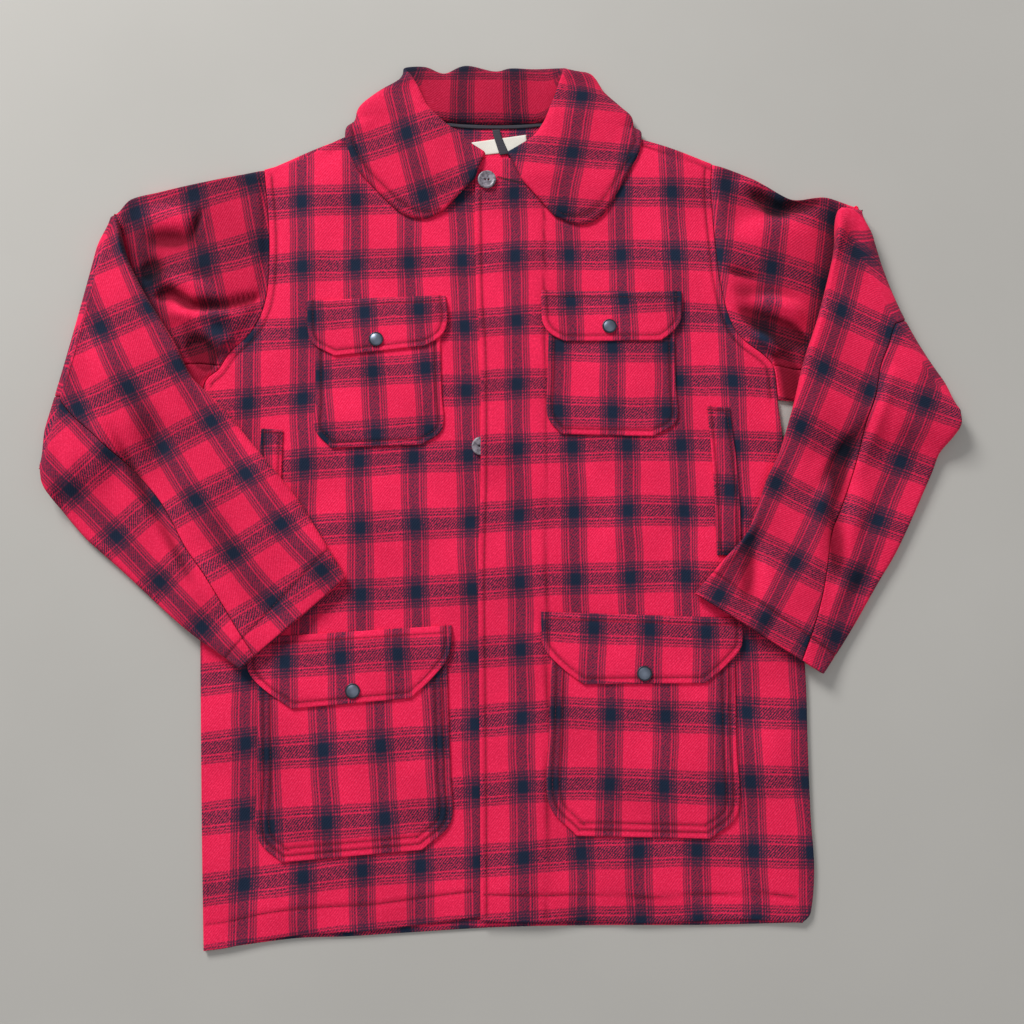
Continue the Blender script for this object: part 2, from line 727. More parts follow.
@dataclass(frozen=True)
class MackinawWool:
    """Heavy mackinaw wool: a 2/2 twill of dyed yarns in a check, fulled and lightly napped.

    Fulling felts the yarns, so the twill shows as soft diagonals and the check's edges are
    fuzzy. Napped wool scatters light with hardly any gloss and a pale sheen at its edges.
    """

    warp_red: str = "#ec2450"
    weft_red: str = "#f43660"
    dark: str = "#1a283c"
    twill_spacing: float = 2.2     # mm, as wide as it looks on the real cloth
    twill_angle: float = 50.0
    band: float = 0.196            # half width of the solid band, in parts of half a repeat
    line_places: tuple[float, ...] = (0.272, 0.356, 0.438)
    line_half: float = 0.023
    soft: float = 0.02
    between: float = 0.1           # how dark the fuzz of the yarns leaves the gaps

    def band_stops(self) -> list[tuple[float, str]]:
        """Returns the ramp from a band's middle outwards: solid band, then three thin lines.

        Returns:
            Places and grey hex colours.
        """
        marks = [(0.0, 1.0), (self.band - self.soft, 1.0), (self.band + self.soft, self.between)]
        for k, line in enumerate(self.line_places):
            full, after = ((1.0, self.between), (0.96, 0.8 * self.between), (0.88, 0.0))[k]
            marks += [(line - self.line_half, full), (line + self.line_half, full),
                      (line + self.line_half + self.soft, after)]
        return [(place, "#%02x%02x%02x" % ((round(255 * value),) * 3)) for place, value in marks]

    def material(self) -> Material:
        """Builds the wool from the piece's own cloth coordinates.

        Returns:
            The material.
        """
        made, tree = new_material("Mackinaw wool, twill woven check, fulled and napped", "#b01035")
        chart = add_node(tree, "ShaderNodeUVMap", uv_map="cloth")
        # Fulled yarns wander by about half a millimetre.
        wander = add_node(tree, "ShaderNodeTexNoise", {"Vector": chart, "Scale": 700, "Detail": 2})
        wobble = add_node(tree, "ShaderNodeVectorMath", {
            0: wander.outputs["Color"], 1: (0.5, 0.5, 0.5)}, operation="SUBTRACT")
        slow = add_node(tree, "ShaderNodeTexNoise", {"Vector": chart, "Scale": 14, "Detail": 1})
        drift = add_node(tree, "ShaderNodeVectorMath", {
            0: slow.outputs["Color"], 1: (0.5, 0.5, 0.5)}, operation="SUBTRACT")
        near = add_node(tree, "ShaderNodeVectorMath", {
            0: wobble, 1: (0.0016, 0.0016, 0.0), 2: chart}, operation="MULTIPLY_ADD")
        place = add_node(tree, "ShaderNodeVectorMath", {
            0: drift, 1: (0.005, 0.005, 0.0), 2: near},
            operation="MULTIPLY_ADD")
        split = add_node(tree, "ShaderNodeSeparateXYZ", {0: place})
        bands, spread = [], []
        for side, repeat in (("X", CHECK[0]), ("Y", CHECK[1])):
            away = add_node(tree, "ShaderNodeMath", {
                0: split.outputs[side], 1: repeat * MM / 2}, operation="PINGPONG")
            part = add_node(tree, "ShaderNodeMath", {
                0: away, 1: repeat * MM / 2}, operation="DIVIDE")
            bands.append(add_node(
                tree, "ShaderNodeValToRGB", {0: part}, self.band_stops()))
            spread.append(add_node(tree, "ShaderNodeMapRange", {
                "Value": part, "From Min": 0.35, "From Max": 0.1},
                interpolation_type="SMOOTHSTEP"))
        # The twill's diagonals, rising to the right.
        rise = math.radians(self.twill_angle)
        pace = 2 * math.pi / (self.twill_spacing * MM)
        diagonal = add_node(tree, "ShaderNodeVectorMath", {
            0: place, 1: (math.sin(rise) * pace, -math.cos(rise) * pace, 0)},
            operation="DOT_PRODUCT")
        wale = add_node(tree, "ShaderNodeMath", {0: diagonal.outputs["Value"]}, operation="SINE")
        # The nap lays fibres of one yarn over the next.
        nap = add_node(tree, "ShaderNodeTexNoise", {
            "Vector": chart, "Scale": 460, "Detail": 4, "Roughness": 0.85})
        fuzz = add_node(tree, "ShaderNodeMapRange", {
            "Value": nap.outputs["Fac"], "From Min": 0.36, "From Max": 0.64, "To Min": -1.1,
            "To Max": 1.1})
        over = add_node(tree, "ShaderNodeMath", {0: wale, 1: fuzz})
        felted = add_node(tree, "ShaderNodeMath", {
            0: wale, 1: 0.4, 2: fuzz}, operation="MULTIPLY_ADD")
        # Dark warp floats over most of the face; dark weft shows between the warp's floats.
        clear = []
        for band, twill, (low, high, floor, top) in (
                (bands[0], felted, (-1.1, 0.9, 0.42, 1.0)),
                (bands[1], over, (1.3, -0.8, 0.22, 1.0))):
            yarn = add_node(tree, "ShaderNodeMapRange", {
                "Value": twill, "From Min": low, "From Max": high, "To Min": floor,
                "To Max": top})
            dark = add_node(tree, "ShaderNodeMath", {
                0: yarn, 1: band}, operation="MULTIPLY")
            clear.append(add_node(tree, "ShaderNodeMath", {
                0: 1.0, 1: dark}, operation="SUBTRACT"))
        left_red = add_node(tree, "ShaderNodeMath", {
            0: clear[0], 1: clear[1]}, operation="MULTIPLY")
        # Where two dark bands cross, both yarns are dark; the nap blurs the square's edge.
        square = add_node(tree, "ShaderNodeVectorMath", {
            0: spread[0], 1: spread[1]}, operation="MULTIPLY")
        corner = add_node(tree, "ShaderNodeSeparateXYZ", {0: square})
        blot = add_node(tree, "ShaderNodeMath", {
            0: 1.0, 1: corner.outputs["X"]}, operation="SUBTRACT")
        red_part = add_node(tree, "ShaderNodeMath", {
            0: left_red, 1: blot}, operation="MULTIPLY")
        depth = add_node(tree, "ShaderNodeMath", {
            0: 1.0, 1: red_part}, operation="SUBTRACT")
        red = add_node(tree, "ShaderNodeMix", {
            0: fuzz, 6: linear(self.warp_red), 7: linear(self.weft_red)},
            data_type="RGBA")
        woven = add_node(tree, "ShaderNodeMix", {
            0: depth, 6: red.outputs[2], 7: linear(self.dark)}, data_type="RGBA")
        # Wear and handling leave the tone slightly uneven.
        cloud = add_node(tree, "ShaderNodeTexNoise", {"Vector": chart, "Scale": 16, "Detail": 4})
        tone = add_node(tree, "ShaderNodeMapRange", {
            "Value": cloud.outputs["Fac"], "From Min": 0.3, "From Max": 0.7, "To Min": 0.86,
            "To Max": 1.1})
        grain = add_node(tree, "ShaderNodeMapRange", {
            "Value": nap.outputs["Fac"], "From Min": 0.3, "From Max": 0.7, "To Min": 0.86,
            "To Max": 1.14})
        light = add_node(tree, "ShaderNodeMath", {
            0: tone, 1: grain}, operation="MULTIPLY")
        toned = add_node(tree, "ShaderNodeVectorMath", {
            0: woven.outputs[2], "Scale": light}, operation="SCALE")
        # Stitched grooves and the depths of creases hold their shade and are not worn pale.
        groove = add_node(tree, "ShaderNodeAttribute", attribute_name="groove")
        sunk = add_node(tree, "ShaderNodeMapRange", {
            "Value": groove.outputs["Fac"], "To Min": 1.0, "To Max": 0.16})
        colour = add_node(tree, "ShaderNodeVectorMath", {
            0: toned, "Scale": sunk}, operation="SCALE")
        pile = add_node(tree, "ShaderNodeMath", {
            0: nap.outputs["Fac"], 1: 1.6, 2: wale}, operation="MULTIPLY_ADD")
        bump = add_node(tree, "ShaderNodeBump", {
            "Height": pile, "Strength": 0.5, "Distance": 0.00022})
        shader = add_node(tree, "ShaderNodeBsdfPrincipled", {
            "Base Color": colour, "Roughness": 0.93, "IOR": 1.45,
            "Specular IOR Level": 0.12, "Sheen Weight": 0.13, "Sheen Roughness": 0.45,
            "Sheen Tint": linear("#ff9fae"), "Normal": bump})
        add_node(tree, "ShaderNodeOutputMaterial", {0: shader})
        return made


@dataclass(frozen=True)
class CottonBinding:
    """Black cotton binding tape, woven in a fine rib: matt, with a ridge every millimetre."""

    colour: str = "#25232b"
    worn: str = "#3b3842"
    rib: float = 1.0

    def material(self) -> Material:
        """Builds the tape from object coordinates.

        Returns:
            The material.
        """
        made, tree = new_material("Cotton binding tape, rib woven", self.colour)
        place = add_node(tree, "ShaderNodeTexCoord").outputs["Object"]
        rib = add_node(tree, "ShaderNodeTexWave", {
            "Vector": place, "Scale": 1000 / self.rib / 6.28, "Distortion": 0.6},
            wave_type="BANDS", bands_direction="Y")
        fluff = add_node(tree, "ShaderNodeTexNoise", {"Vector": place, "Scale": 700, "Detail": 3})
        tint = add_node(tree, "ShaderNodeMix", {
            0: fluff.outputs["Fac"], 6: linear(self.colour), 7: linear(self.worn)},
            data_type="RGBA")
        bump = add_node(tree, "ShaderNodeBump", {
            "Height": rib.outputs["Fac"], "Strength": 0.5, "Distance": 0.0002})
        shader = add_node(tree, "ShaderNodeBsdfPrincipled", {
            "Base Color": tint.outputs[2], "Roughness": 0.82, "Normal": bump})
        add_node(tree, "ShaderNodeOutputMaterial", {0: shader})
        return made


@dataclass(frozen=True)
class WovenLabel:
    """White woven label cloth, left bare: a fine satin face with a faint weave and soft creases."""

    colour: str = "#ece8de"
    shade: str = "#cfc9bd"
    weave: float = 0.6

    def material(self) -> Material:
        """Builds the label cloth from object coordinates.

        Returns:
            The material.
        """
        made, tree = new_material("Label cloth, satin woven", self.colour)
        place = add_node(tree, "ShaderNodeTexCoord").outputs["Object"]
        weave = add_node(tree, "ShaderNodeTexWave", {
            "Vector": place, "Scale": 1000 / self.weave / 6.28, "Distortion": 0.3},
            wave_type="BANDS", bands_direction="DIAGONAL")
        soil = add_node(tree, "ShaderNodeTexNoise", {"Vector": place, "Scale": 60, "Detail": 5})
        tint = add_node(tree, "ShaderNodeMix", {
            0: soil.outputs["Fac"], 6: linear(self.colour), 7: linear(self.shade)},
            data_type="RGBA")
        bump = add_node(tree, "ShaderNodeBump", {
            "Height": weave.outputs["Fac"], "Strength": 0.35, "Distance": 0.0001})
        shader = add_node(tree, "ShaderNodeBsdfPrincipled", {
            "Base Color": tint.outputs[2], "Roughness": 0.7, "Normal": bump})
        add_node(tree, "ShaderNodeOutputMaterial", {0: shader})
        return made


@dataclass(frozen=True)
class HornButton:
    """Smoke-grey horn-look urea button, moulded and polished: cloudy, with a soft gloss."""

    pale: str = "#9a929b"
    deep: str = "#4c464f"
    cloud: float = 3.0

    def material(self) -> Material:
        """Builds the button's clouded plastic from object coordinates.

        Returns:
            The material.
        """
        made, tree = new_material("Urea resin button, moulded and polished", self.pale)
        place = add_node(tree, "ShaderNodeTexCoord").outputs["Object"]
        swirl = add_node(tree, "ShaderNodeTexNoise", {
            "Vector": place, "Scale": 1000 / self.cloud / 2, "Detail": 4, "Distortion": 1.6})
        tint = add_node(tree, "ShaderNodeValToRGB", {0: swirl.outputs["Fac"]}, [
            (0.34, self.deep), (0.66, self.pale)])
        wear = add_node(tree, "ShaderNodeMapRange", {
            "Value": swirl.outputs["Fac"], "To Min": 0.28, "To Max": 0.42})
        shader = add_node(tree, "ShaderNodeBsdfPrincipled", {
            "Base Color": tint, "Roughness": wear, "IOR": 1.54})
        add_node(tree, "ShaderNodeOutputMaterial", {0: shader})
        return made


@dataclass(frozen=True)
class SnapSteel:
    """Gunmetal-plated brass snap cap, pressed: slate grey, darker and duller at its rolled rim."""

    face: str = "#737b8a"
    rim: str = "#23262e"
    radius: float = SNAP_DIAMETER / 2

    def material(self) -> Material:
        """Builds the plated cap; its UV map "turn" holds the distance from the middle.

        Returns:
            The material.
        """
        made, tree = new_material("Brass snap cap, pressed and gunmetal plated", self.face)
        chart = add_node(tree, "ShaderNodeUVMap", uv_map="turn")
        reach = add_node(tree, "ShaderNodeSeparateXYZ", {0: chart})
        part = add_node(tree, "ShaderNodeMath", {
            0: reach.outputs["X"], 1: self.radius * MM}, operation="DIVIDE")
        tint = add_node(tree, "ShaderNodeValToRGB", {0: part}, [
            (0.0, self.face), (0.74, "#666d7b"), (0.84, self.rim), (0.93, "#3c414c")])
        place = add_node(tree, "ShaderNodeTexCoord").outputs["Object"]
        scuff = add_node(tree, "ShaderNodeTexNoise", {"Vector": place, "Scale": 420, "Detail": 5})
        gloss = add_node(tree, "ShaderNodeMapRange", {
            "Value": scuff.outputs["Fac"], "To Min": 0.26, "To Max": 0.5})
        shader = add_node(tree, "ShaderNodeBsdfPrincipled", {
            "Base Color": tint, "Metallic": 0.85, "Roughness": gloss})
        add_node(tree, "ShaderNodeOutputMaterial", {0: shader})
        return made


@dataclass(frozen=True)
class SewingThread:
    """Spun sewing thread, twisted: matt, with a fine slanting twist."""

    name: str
    colour: str
    twist: float = 0.5

    def material(self) -> Material:
        """Builds the thread from object coordinates.

        Returns:
            The material.
        """
        made, tree = new_material(self.name, self.colour)
        place = add_node(tree, "ShaderNodeTexCoord").outputs["Object"]
        twist = add_node(tree, "ShaderNodeTexWave", {
            "Vector": place, "Scale": 1000 / self.twist / 6.28}, bands_direction="DIAGONAL")
        dark = tuple(0.6 * c for c in linear(self.colour)[:3]) + (1.0,)
        tint = add_node(tree, "ShaderNodeMix", {
            0: twist.outputs["Fac"], 6: dark, 7: linear(self.colour)}, data_type="RGBA")
        shader = add_node(tree, "ShaderNodeBsdfPrincipled", {
            "Base Color": tint.outputs[2], "Roughness": 0.85})
        add_node(tree, "ShaderNodeOutputMaterial", {0: shader})
        return made


@dataclass(frozen=True)
class StudioFloor:
    """Plain pale floor, matt painted, with a barely visible mottle."""

    colour: str = "#b4b1ab"

    def material(self) -> Material:
        """Builds the floor's paint.

        Returns:
            The material.
        """
        made, tree = new_material("Floor paint, rolled matt", self.colour)
        place = add_node(tree, "ShaderNodeTexCoord").outputs["Object"]
        mottle = add_node(tree, "ShaderNodeTexNoise", {"Vector": place, "Scale": 3, "Detail": 4})
        tint = add_node(tree, "ShaderNodeMix", {
            0: mottle.outputs["Fac"], 6: linear("#aeaba5"), 7: linear("#bab7b1")}, data_type="RGBA")
        shader = add_node(tree, "ShaderNodeBsdfPrincipled", {
            "Base Color": tint.outputs[2], "Roughness": 0.9})
        add_node(tree, "ShaderNodeOutputMaterial", {0: shader})
        return made


@dataclass(frozen=True)
class Finishes:
    """Every finish of the jacket, built once."""

    wool: Material
    binding: Material
    label: Material
    button: Material
    snap: Material
    thread: Material
    button_thread: Material

    @classmethod
    def made(cls) -> Finishes:
        """Builds the finishes.

        Returns:
            The finishes.
        """
        return cls(
            MackinawWool().material(), CottonBinding().material(), WovenLabel().material(),
            HornButton().material(), SnapSteel().material(),
            SewingThread("Polyester thread, spun dark red", "#7a1733").material(),
            SewingThread("Cotton thread, spun charcoal", "#2a2730").material())


# ---- stitches


@dataclass
class StitchRow:
    """Rows of lockstitch along lines, laid by a node tree and made a plain mesh."""

    name: str
    lines: list[Array]
    length: float = 3.1
    gap: float = 0.8
    thread: float = 0.5
    sink: float = 0.42
    seed: int = 7

    def tree(self) -> NodeTree:
        """Builds the tree: a stitch at every pitch of each line, turned along it.

        Returns:
            The node tree.
        """
        tree = bpy.data.node_groups.new(self.name + "_rule", "GeometryNodeTree")
        for way, label, kind in (
                ("INPUT", "Geometry", "Geometry"), ("INPUT", "Stitch Length", "Float"),
                ("INPUT", "Gap", "Float"), ("INPUT", "Thread Width", "Float"),
                ("INPUT", "Seed", "Int"), ("INPUT", "Thread", "Material"),
                ("OUTPUT", "Geometry", "Geometry")):
            tree.interface.new_socket(label, in_out=way, socket_type="NodeSocket" + kind)
        given = add_node(tree, "NodeGroupInput").outputs
        pitch = add_node(tree, "ShaderNodeMath", {0: given["Stitch Length"], 1: given["Gap"]})
        path = add_node(tree, "GeometryNodeMeshToCurve", {0: given["Geometry"]})
        even = add_node(tree, "GeometryNodeResampleCurve", {
            "Curve": path, "Length": pitch}, mode="LENGTH")
        along = add_node(tree, "GeometryNodeInputTangent")
        turn = add_node(tree, "FunctionNodeAlignRotationToVector", {
            "Vector": along}, axis="X")
        body = add_node(tree, "GeometryNodeMeshUVSphere", {
            "Segments": 6, "Rings": 5, "Radius": 0.5})
        slack = add_node(tree, "FunctionNodeRandomValue", {
            2: 0.88, 3: 1.1, "Seed": given["Seed"]}, data_type="FLOAT")
        long = add_node(tree, "ShaderNodeMath", {
            0: given["Stitch Length"], 1: slack.outputs[1]}, operation="MULTIPLY")
        size = add_node(tree, "ShaderNodeCombineXYZ", {
            0: long, 1: given["Thread Width"], 2: given["Thread Width"]})
        laid = add_node(tree, "GeometryNodeInstanceOnPoints", {
            "Points": even, "Instance": body, "Rotation": turn,
            "Scale": size})
        real = add_node(tree, "GeometryNodeRealizeInstances", {0: laid})
        dressed = add_node(tree, "GeometryNodeSetMaterial", {
            "Geometry": real, "Material": given["Thread"]})
        add_node(tree, "NodeGroupOutput", {0: dressed})
        return tree

    def build(self, material: Material) -> Object:
        """Lays the stitches and turns them into a plain mesh.

        Args:
            material: the thread's finish.

        Returns:
            The object of all stitches.
        """
        points, edges = [], []
        for line in self.lines:
            start = len(points)
            points += [tuple(p * MM) for p in line - np.array([0, 0, self.sink])]
            edges += [(start + k, start + k + 1) for k in range(len(line) - 1)]
        guide = bpy.data.meshes.new(self.name + "_guide")
        guide.from_pydata(points, edges, [])
        holder = linked(self.name + "_guide", guide)
        rule = holder.modifiers.new("stitches", "NODES")
        rule.node_group = self.tree()
        values = {"Stitch Length": self.length * MM, "Gap": self.gap * MM,
                  "Thread Width": self.thread * MM, "Seed": self.seed, "Thread": material}
        for item in rule.node_group.interface.items_tree:
            if item.in_out == "INPUT" and item.name in values:
                rule[item.identifier] = values[item.name]
        ready = holder.evaluated_get(bpy.context.evaluated_depsgraph_get())
        mesh = bpy.data.meshes.new_from_object(ready)
        mesh.name = self.name
        mesh.polygons.foreach_set("use_smooth", [True] * len(mesh.polygons))
        holder.modifiers.remove(rule)
        bpy.data.objects.remove(holder)
        return linked(self.name, mesh)


# ---- sub-assemblies


@dataclass
class Tailor:
    """Puts finished pieces on the frame and reports them."""

    finishes: Finishes

    def place(self, piece: Object, slot: Slot, replaces: Sequence[str] = ()) -> None:
        """Rides a piece on the jacket.

        Args:
            piece: the finished object.
            slot: the record's material slot.
            replaces: the model's nodes that it stands for.
        """
        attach(piece, "root")
        if replaces:
            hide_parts(*replaces)
        LOG.info("%s: %d faces", piece.name, len(piece.data.polygons))

    def sew(self, cloth: ClothPiece,
            slot: Slot = Slot.WOOL, finish: Material | None = None) -> Object:
        """Builds a cloth piece in place of the model's node of that name.

        Args:
            cloth: the piece, named as its node with "_cloth" added.
            slot: its material slot.
            finish: its finish, if it isn't wool.

        Returns:
            The object.
        """
        node = cloth.name
        cloth.name = node + "_cloth"
        piece = cloth.build(finish or self.finishes.wool)
        self.place(piece, slot, [node])
        return piece

    def stitch(
        self, name: str, lines: list[Array], dark: bool = False, **sizes: float
    ) -> None:
        """Lays rows of stitches along lines on the cloth.

        Args:
            name: the object's name.
            lines: the stitch lines.
            dark: whether the thread is the buttonhole's.
            sizes: sizes of the stitches.
        """
        thread = self.finishes.button_thread if dark else self.finishes.thread
        piece = StitchRow(name, lines, **sizes).build(thread)
        self.place(piece, Slot.WOOL)


@dataclass
class JacketBody:
    """Back and two fronts, cut as panels between their edge curves."""

    step: float = 3.8
    hem_depth: float = 25.0
    edge_stitch: float = 6.0
    seam_stitch: float = 7.0
    length: float = 850.0
    back_width: float = 600.0
    back_step: float = 7.0
    front_width: float = 325.0
    fly_width: float = 66.0
    back_chart: CheckChart = CheckChart(0, 1.0, (22, 348))
    right_chart: BentChart = BentChart(
        (31.2, 101.5, 3.3, 0.8, 0.2, 0.1), (10.4, -2.4, 101.8, 1.5, 1.0, -0.6))
    left_chart: BentChart = BentChart(
        (-19.0, 100.2, 1.2, 0.1, 0.1, 0.0), (5.5, -6.8, 101.8, 1.9, 0.3, -0.3))

    def panel(self, outer: Place, inner: Place, bottom: Place, top: Place, columns: Array,
              rows: Array, fixed: tuple[float, float]) -> Array:
        """Blends a panel between its four edges.

        Args:
            outer: the edge at the side.
            inner: the edge at the front.
            bottom: the hem, from outer to inner.
            top: the shoulder, from outer to inner.
            columns: places from the outer to the inner edge, in millimetres.
            rows: places from hem to top, in millimetres.
            fixed: how much beside the outer and the inner edge keeps its width.

        Returns:
            A grid of plan points.
        """
        v = rows / rows[-1]
        widths = np.linalg.norm(inner(v) - outer(v), axis=1)
        u = fitted(columns, widths, *fixed)[..., None]
        v = np.broadcast_to(v[:, None], u.shape[:2])[..., None]
        low, high = bottom(u[..., 0]), top(u[..., 0])
        side, front = outer(v[..., 0]), inner(v[..., 0])
        corners = [curve(np.array(end)) for curve in (bottom, top) for end in (0.0, 1.0)]
        blend = ((corners[0] * (1 - u) + corners[1] * u) * (1 - v)
                 + (corners[2] * (1 - u) + corners[3] * u) * v)
        return low * (1 - v) + high * v + side * (1 - u) + front * u - blend

    def laying(self, name: str, plan: Array, underside: Height,
               chart: CheckChart | BentChart, lines: list[Array]) -> ClothPiece:
        """Lays a panel's plan on what is beneath it.

        Args:
            name: the model's node.
            plan: the grid of plan points.
            underside: the height of its underside.
            chart: its check.
            lines: its stitch lines.

        Returns:
            The piece, ready to be sewn on.
        """
        low = underside(plan[..., 0], plan[..., 1])
        under = np.dstack([plan, low])
        return ClothPiece(name, under + np.array([0, 0, CLOTH]), under, chart.on(plan), lines=lines)

    def left_lines(self) -> list[Array]:
        """Returns the stitch lines of the left front.

        Returns:
            The lines, on its face.
        """
        t = np.linspace(0, 1, 200)
        edge = LEFT_FRONT_EDGE(np.linspace(0.004, 0.818, 300)) + [self.edge_stitch, 0]
        fly = np.array([[45.5, -396], [46, -200], [46.5, 40], [45.5, 200], [45.5, 330]])
        hem = LEFT_HEM(t) + [0, self.hem_depth]
        armhole = inset(LEFT_OUTER(np.linspace(0.672, 0.995, 200)), -self.seam_stitch)
        shoulder = LEFT_SHOULDER(np.linspace(0.02, 1, 120)) - [0, self.seam_stitch]
        return [laid_line(line, left_top) for line in (edge, fly, hem[6:-2], armhole, shoulder)]

    def right_lines(self) -> list[Array]:
        """Returns the stitch lines of the right front.

        Returns:
            The lines, on its face.
        """
        hem = RIGHT_HEM(np.linspace(0.01, 0.86, 200)) + [0, self.hem_depth]
        armhole = inset(RIGHT_OUTER(np.linspace(0.664, 0.995, 200)), self.seam_stitch)
        shoulder = RIGHT_SHOULDER(np.linspace(0.02, 1, 120)) - [0, self.seam_stitch]
        return [laid_line(line, right_top) for line in (hem, armhole, shoulder)]

    def build(self, tailor: Tailor) -> None:
        """Builds the three panels and their stitching.

        Args:
            tailor: places and reports the pieces.
        """
        rows, wide = stations(self.length, self.step, [self.hem_depth]), self.front_width
        back = self.panel(
            RIGHT_OUTER, LEFT_OUTER, BACK_HEM, BACK_TOP,
            stations(self.back_width, self.back_step), stations(self.length, self.back_step),
            (10, 10))
        tailor.sew(self.laying("back_panel", back, back_underside, self.back_chart, []))
        right = self.panel(RIGHT_OUTER, RIGHT_FRONT_EDGE, RIGHT_HEM, RIGHT_SHOULDER,
                           stations(wide, self.step, [self.seam_stitch]), rows, (12, 12))
        tailor.sew(self.laying("right_front", right, front_underside, self.right_chart,
                               self.right_lines()))
        marks = [self.seam_stitch, wide - self.edge_stitch, wide - self.fly_width]
        left = self.panel(LEFT_OUTER, LEFT_FRONT_EDGE, LEFT_HEM, LEFT_SHOULDER,
                          stations(wide, self.step, marks), rows, (12, 74))
        tailor.sew(self.laying("left_front", left, left_front_underside, self.left_chart,
                               self.left_lines()))
        tailor.stitch("front_stitches", self.left_lines() + self.right_lines())


@dataclass(frozen=True)
class LevelPiece:
    """A patch or flap given by its left and right edge at each level, top first."""

    name: str
    levels: tuple[tuple[float, float, float, float], ...]
    chart: CheckChart

    def plan(self, u: Array, v: Array) -> Array:
        """Returns plan points at fractions u across and v down."""
        level = even_curve(self.levels)(v)
        return level[..., :2] * (1 - u[..., None]) + level[..., 2:] * u[..., None]

    def border(self) -> Array:
        """Returns the edge from the left top corner round the bottom to the right top one.

        Returns:
            The edge's points.
        """
        t = np.linspace(0, 1, 160)
        level = even_curve(self.levels)(t)
        foot = np.linspace(level[-1, :2], level[-1, 2:], 60)[1:-1]
        return np.vstack([level[:, :2], foot, level[::-1, 2:]])

    def size(self) -> tuple[float, float]:
        """Returns the greatest width and the height.

        Returns:
            The width and the height.
        """
        cells = np.asarray(self.levels)
        width = np.hypot(cells[:, 2] - cells[:, 0], cells[:, 3] - cells[:, 1]).max()
        return float(width), float(abs(cells[0, 1] - cells[-1, 1]))

    def grid(self, step: float, lines: Sequence[float], ends: float) -> Array:
        """Returns the plan grid, with close rows and columns beside its stitch lines.

        Args:
            step: the widest spacing.
            lines: how far inside the edge the lines run.
            ends: how much at each side keeps its width.

        Returns:
            The grid of plan points.
        """
        width, height = self.size()
        columns = stations(width, step, [*lines, *(width - d for d in lines)])
        v = stations(height, step, [*lines, *(height - d for d in lines)]) / height
        level = even_curve(self.levels)(v)
        widths = np.linalg.norm(level[:, 2:] - level[:, :2], axis=1)
        u = fitted(columns, widths, ends, ends)
        return self.plan(u, np.broadcast_to(v[:, None], u.shape))


POCKETS = [
    LevelPiece("right_chest_pocket", (
        (-193, 212, -62.5, 217), (-192, 176, -62.2, 178), (-190, 112, -60.5, 125),
        (-189.7, 84, -59, 86), (-172.8, 65, -80, 68.5)), CheckChart(4, 0.97, (-12.6, 20.4))),
    LevelPiece("left_chest_pocket", (
        (49.8, 217, 180.8, 217), (49.6, 184, 180.7, 186), (48.9, 144, 180.7, 131),
        (48, 100, 181, 94), (62, 79.5, 157, 77.4)), CheckChart(-1, 1.0, (1.3, -33.2))),
    LevelPiece("right_hip_pocket", (
        (-241, -146, -53, -133), (-240, -189, -50.5, -205), (-237.5, -262, -48, -262),
        (-235.7, -319, -47.6, -306), (-211.6, -344, -75.3, -332.3)),
        CheckChart(4, 1.0, (-20.9, -17.7))),
    LevelPiece("left_hip_pocket", (
        (50.6, -121, 233, -127), (50.2, -157, 233.3, -160), (48.4, -216, 232.7, -232),
        (47.3, -286, 232.6, -296), (74.7, -319, 205, -321.8)), CheckChart(-2, 0.97, (7.7, 1.6)))]
FLAPS = [
    LevelPiece("right_chest_flap", (
        (-201, 221.5, -57.5, 227.5), (-200, 196, -54.8, 207), (-198, 182, -57, 190),
        (-191, 172, -64, 180.5), (-171, 161.4, -78, 172)), CheckChart(4, 1.0, (-13.6, 10.5))),
    LevelPiece("left_chest_flap", (
        (42.2, 232, 188.8, 231.7), (42.5, 212, 188, 212), (44, 196, 186.5, 198),
        (52, 184.5, 178, 187), (66, 177, 166, 178)), CheckChart(2, 1.0, (24.1, 11.4))),
    LevelPiece("right_hip_flap", (
        (-253.3, -128, -48.2, -115.2), (-251, -147, -48.6, -134), (-248, -163, -53, -150),
        (-232, -179.5, -70, -170.5), (-205, -197.5, -88, -187)), CheckChart(3, 1.0, (3.1, -1.3))),
    LevelPiece("left_hip_flap", (
        (40.9, -101.8, 241.2, -108), (41.4, -122, 241.4, -127), (44.5, -139, 238, -140),
        (62, -158, 222, -157), (83, -173.5, 203, -172.4)), CheckChart(-2, 1.0, (-14.7, 24.1)))]
WELTS = [
    LevelPiece("right_hand_welt", (
        (-245, 85.3, -222.5, 84), (-246.5, 10, -223, 9), (-247, -68, -223.5, -68)),
        CheckChart(2, 1.0, (-20, 14))),
    LevelPiece("left_hand_welt", (
        (212.7, 108.8, 235.5, 107.4), (217.3, 30, 242.5, 28), (218.6, -45, 243, -46)),
        CheckChart(-2, 1.0, (8, 30)))]
POCKET_MOUTH = 14.0


def side_top(name: str) -> Height:
    """Returns the face of the front that a piece of that name lies on."""
    return right_top if name.startswith("right") else left_top


def flap_underside(flap: LevelPiece, x: Array, y: Array) -> Array:
    """Returns the underside of a flap, which lies on the front at its seam, then on its pocket.

    Args:
        flap: the flap.
        x: places across.
        y: places along.

    Returns:
        The heights.
    """
    left_x, left_y, right_x, right_y = flap.levels[0]
    seam = left_y + (right_y - left_y) * (x - left_x) / (right_x - left_x)
    rise = (y - (seam - POCKET_MOUTH + 4)) / (POCKET_MOUTH - 5)
    over = 1 - smoothstep(rise, 0, 1)
    return side_top(flap.name)(x, y) + PLY_GAP + (CLOTH + PLY_GAP) * over


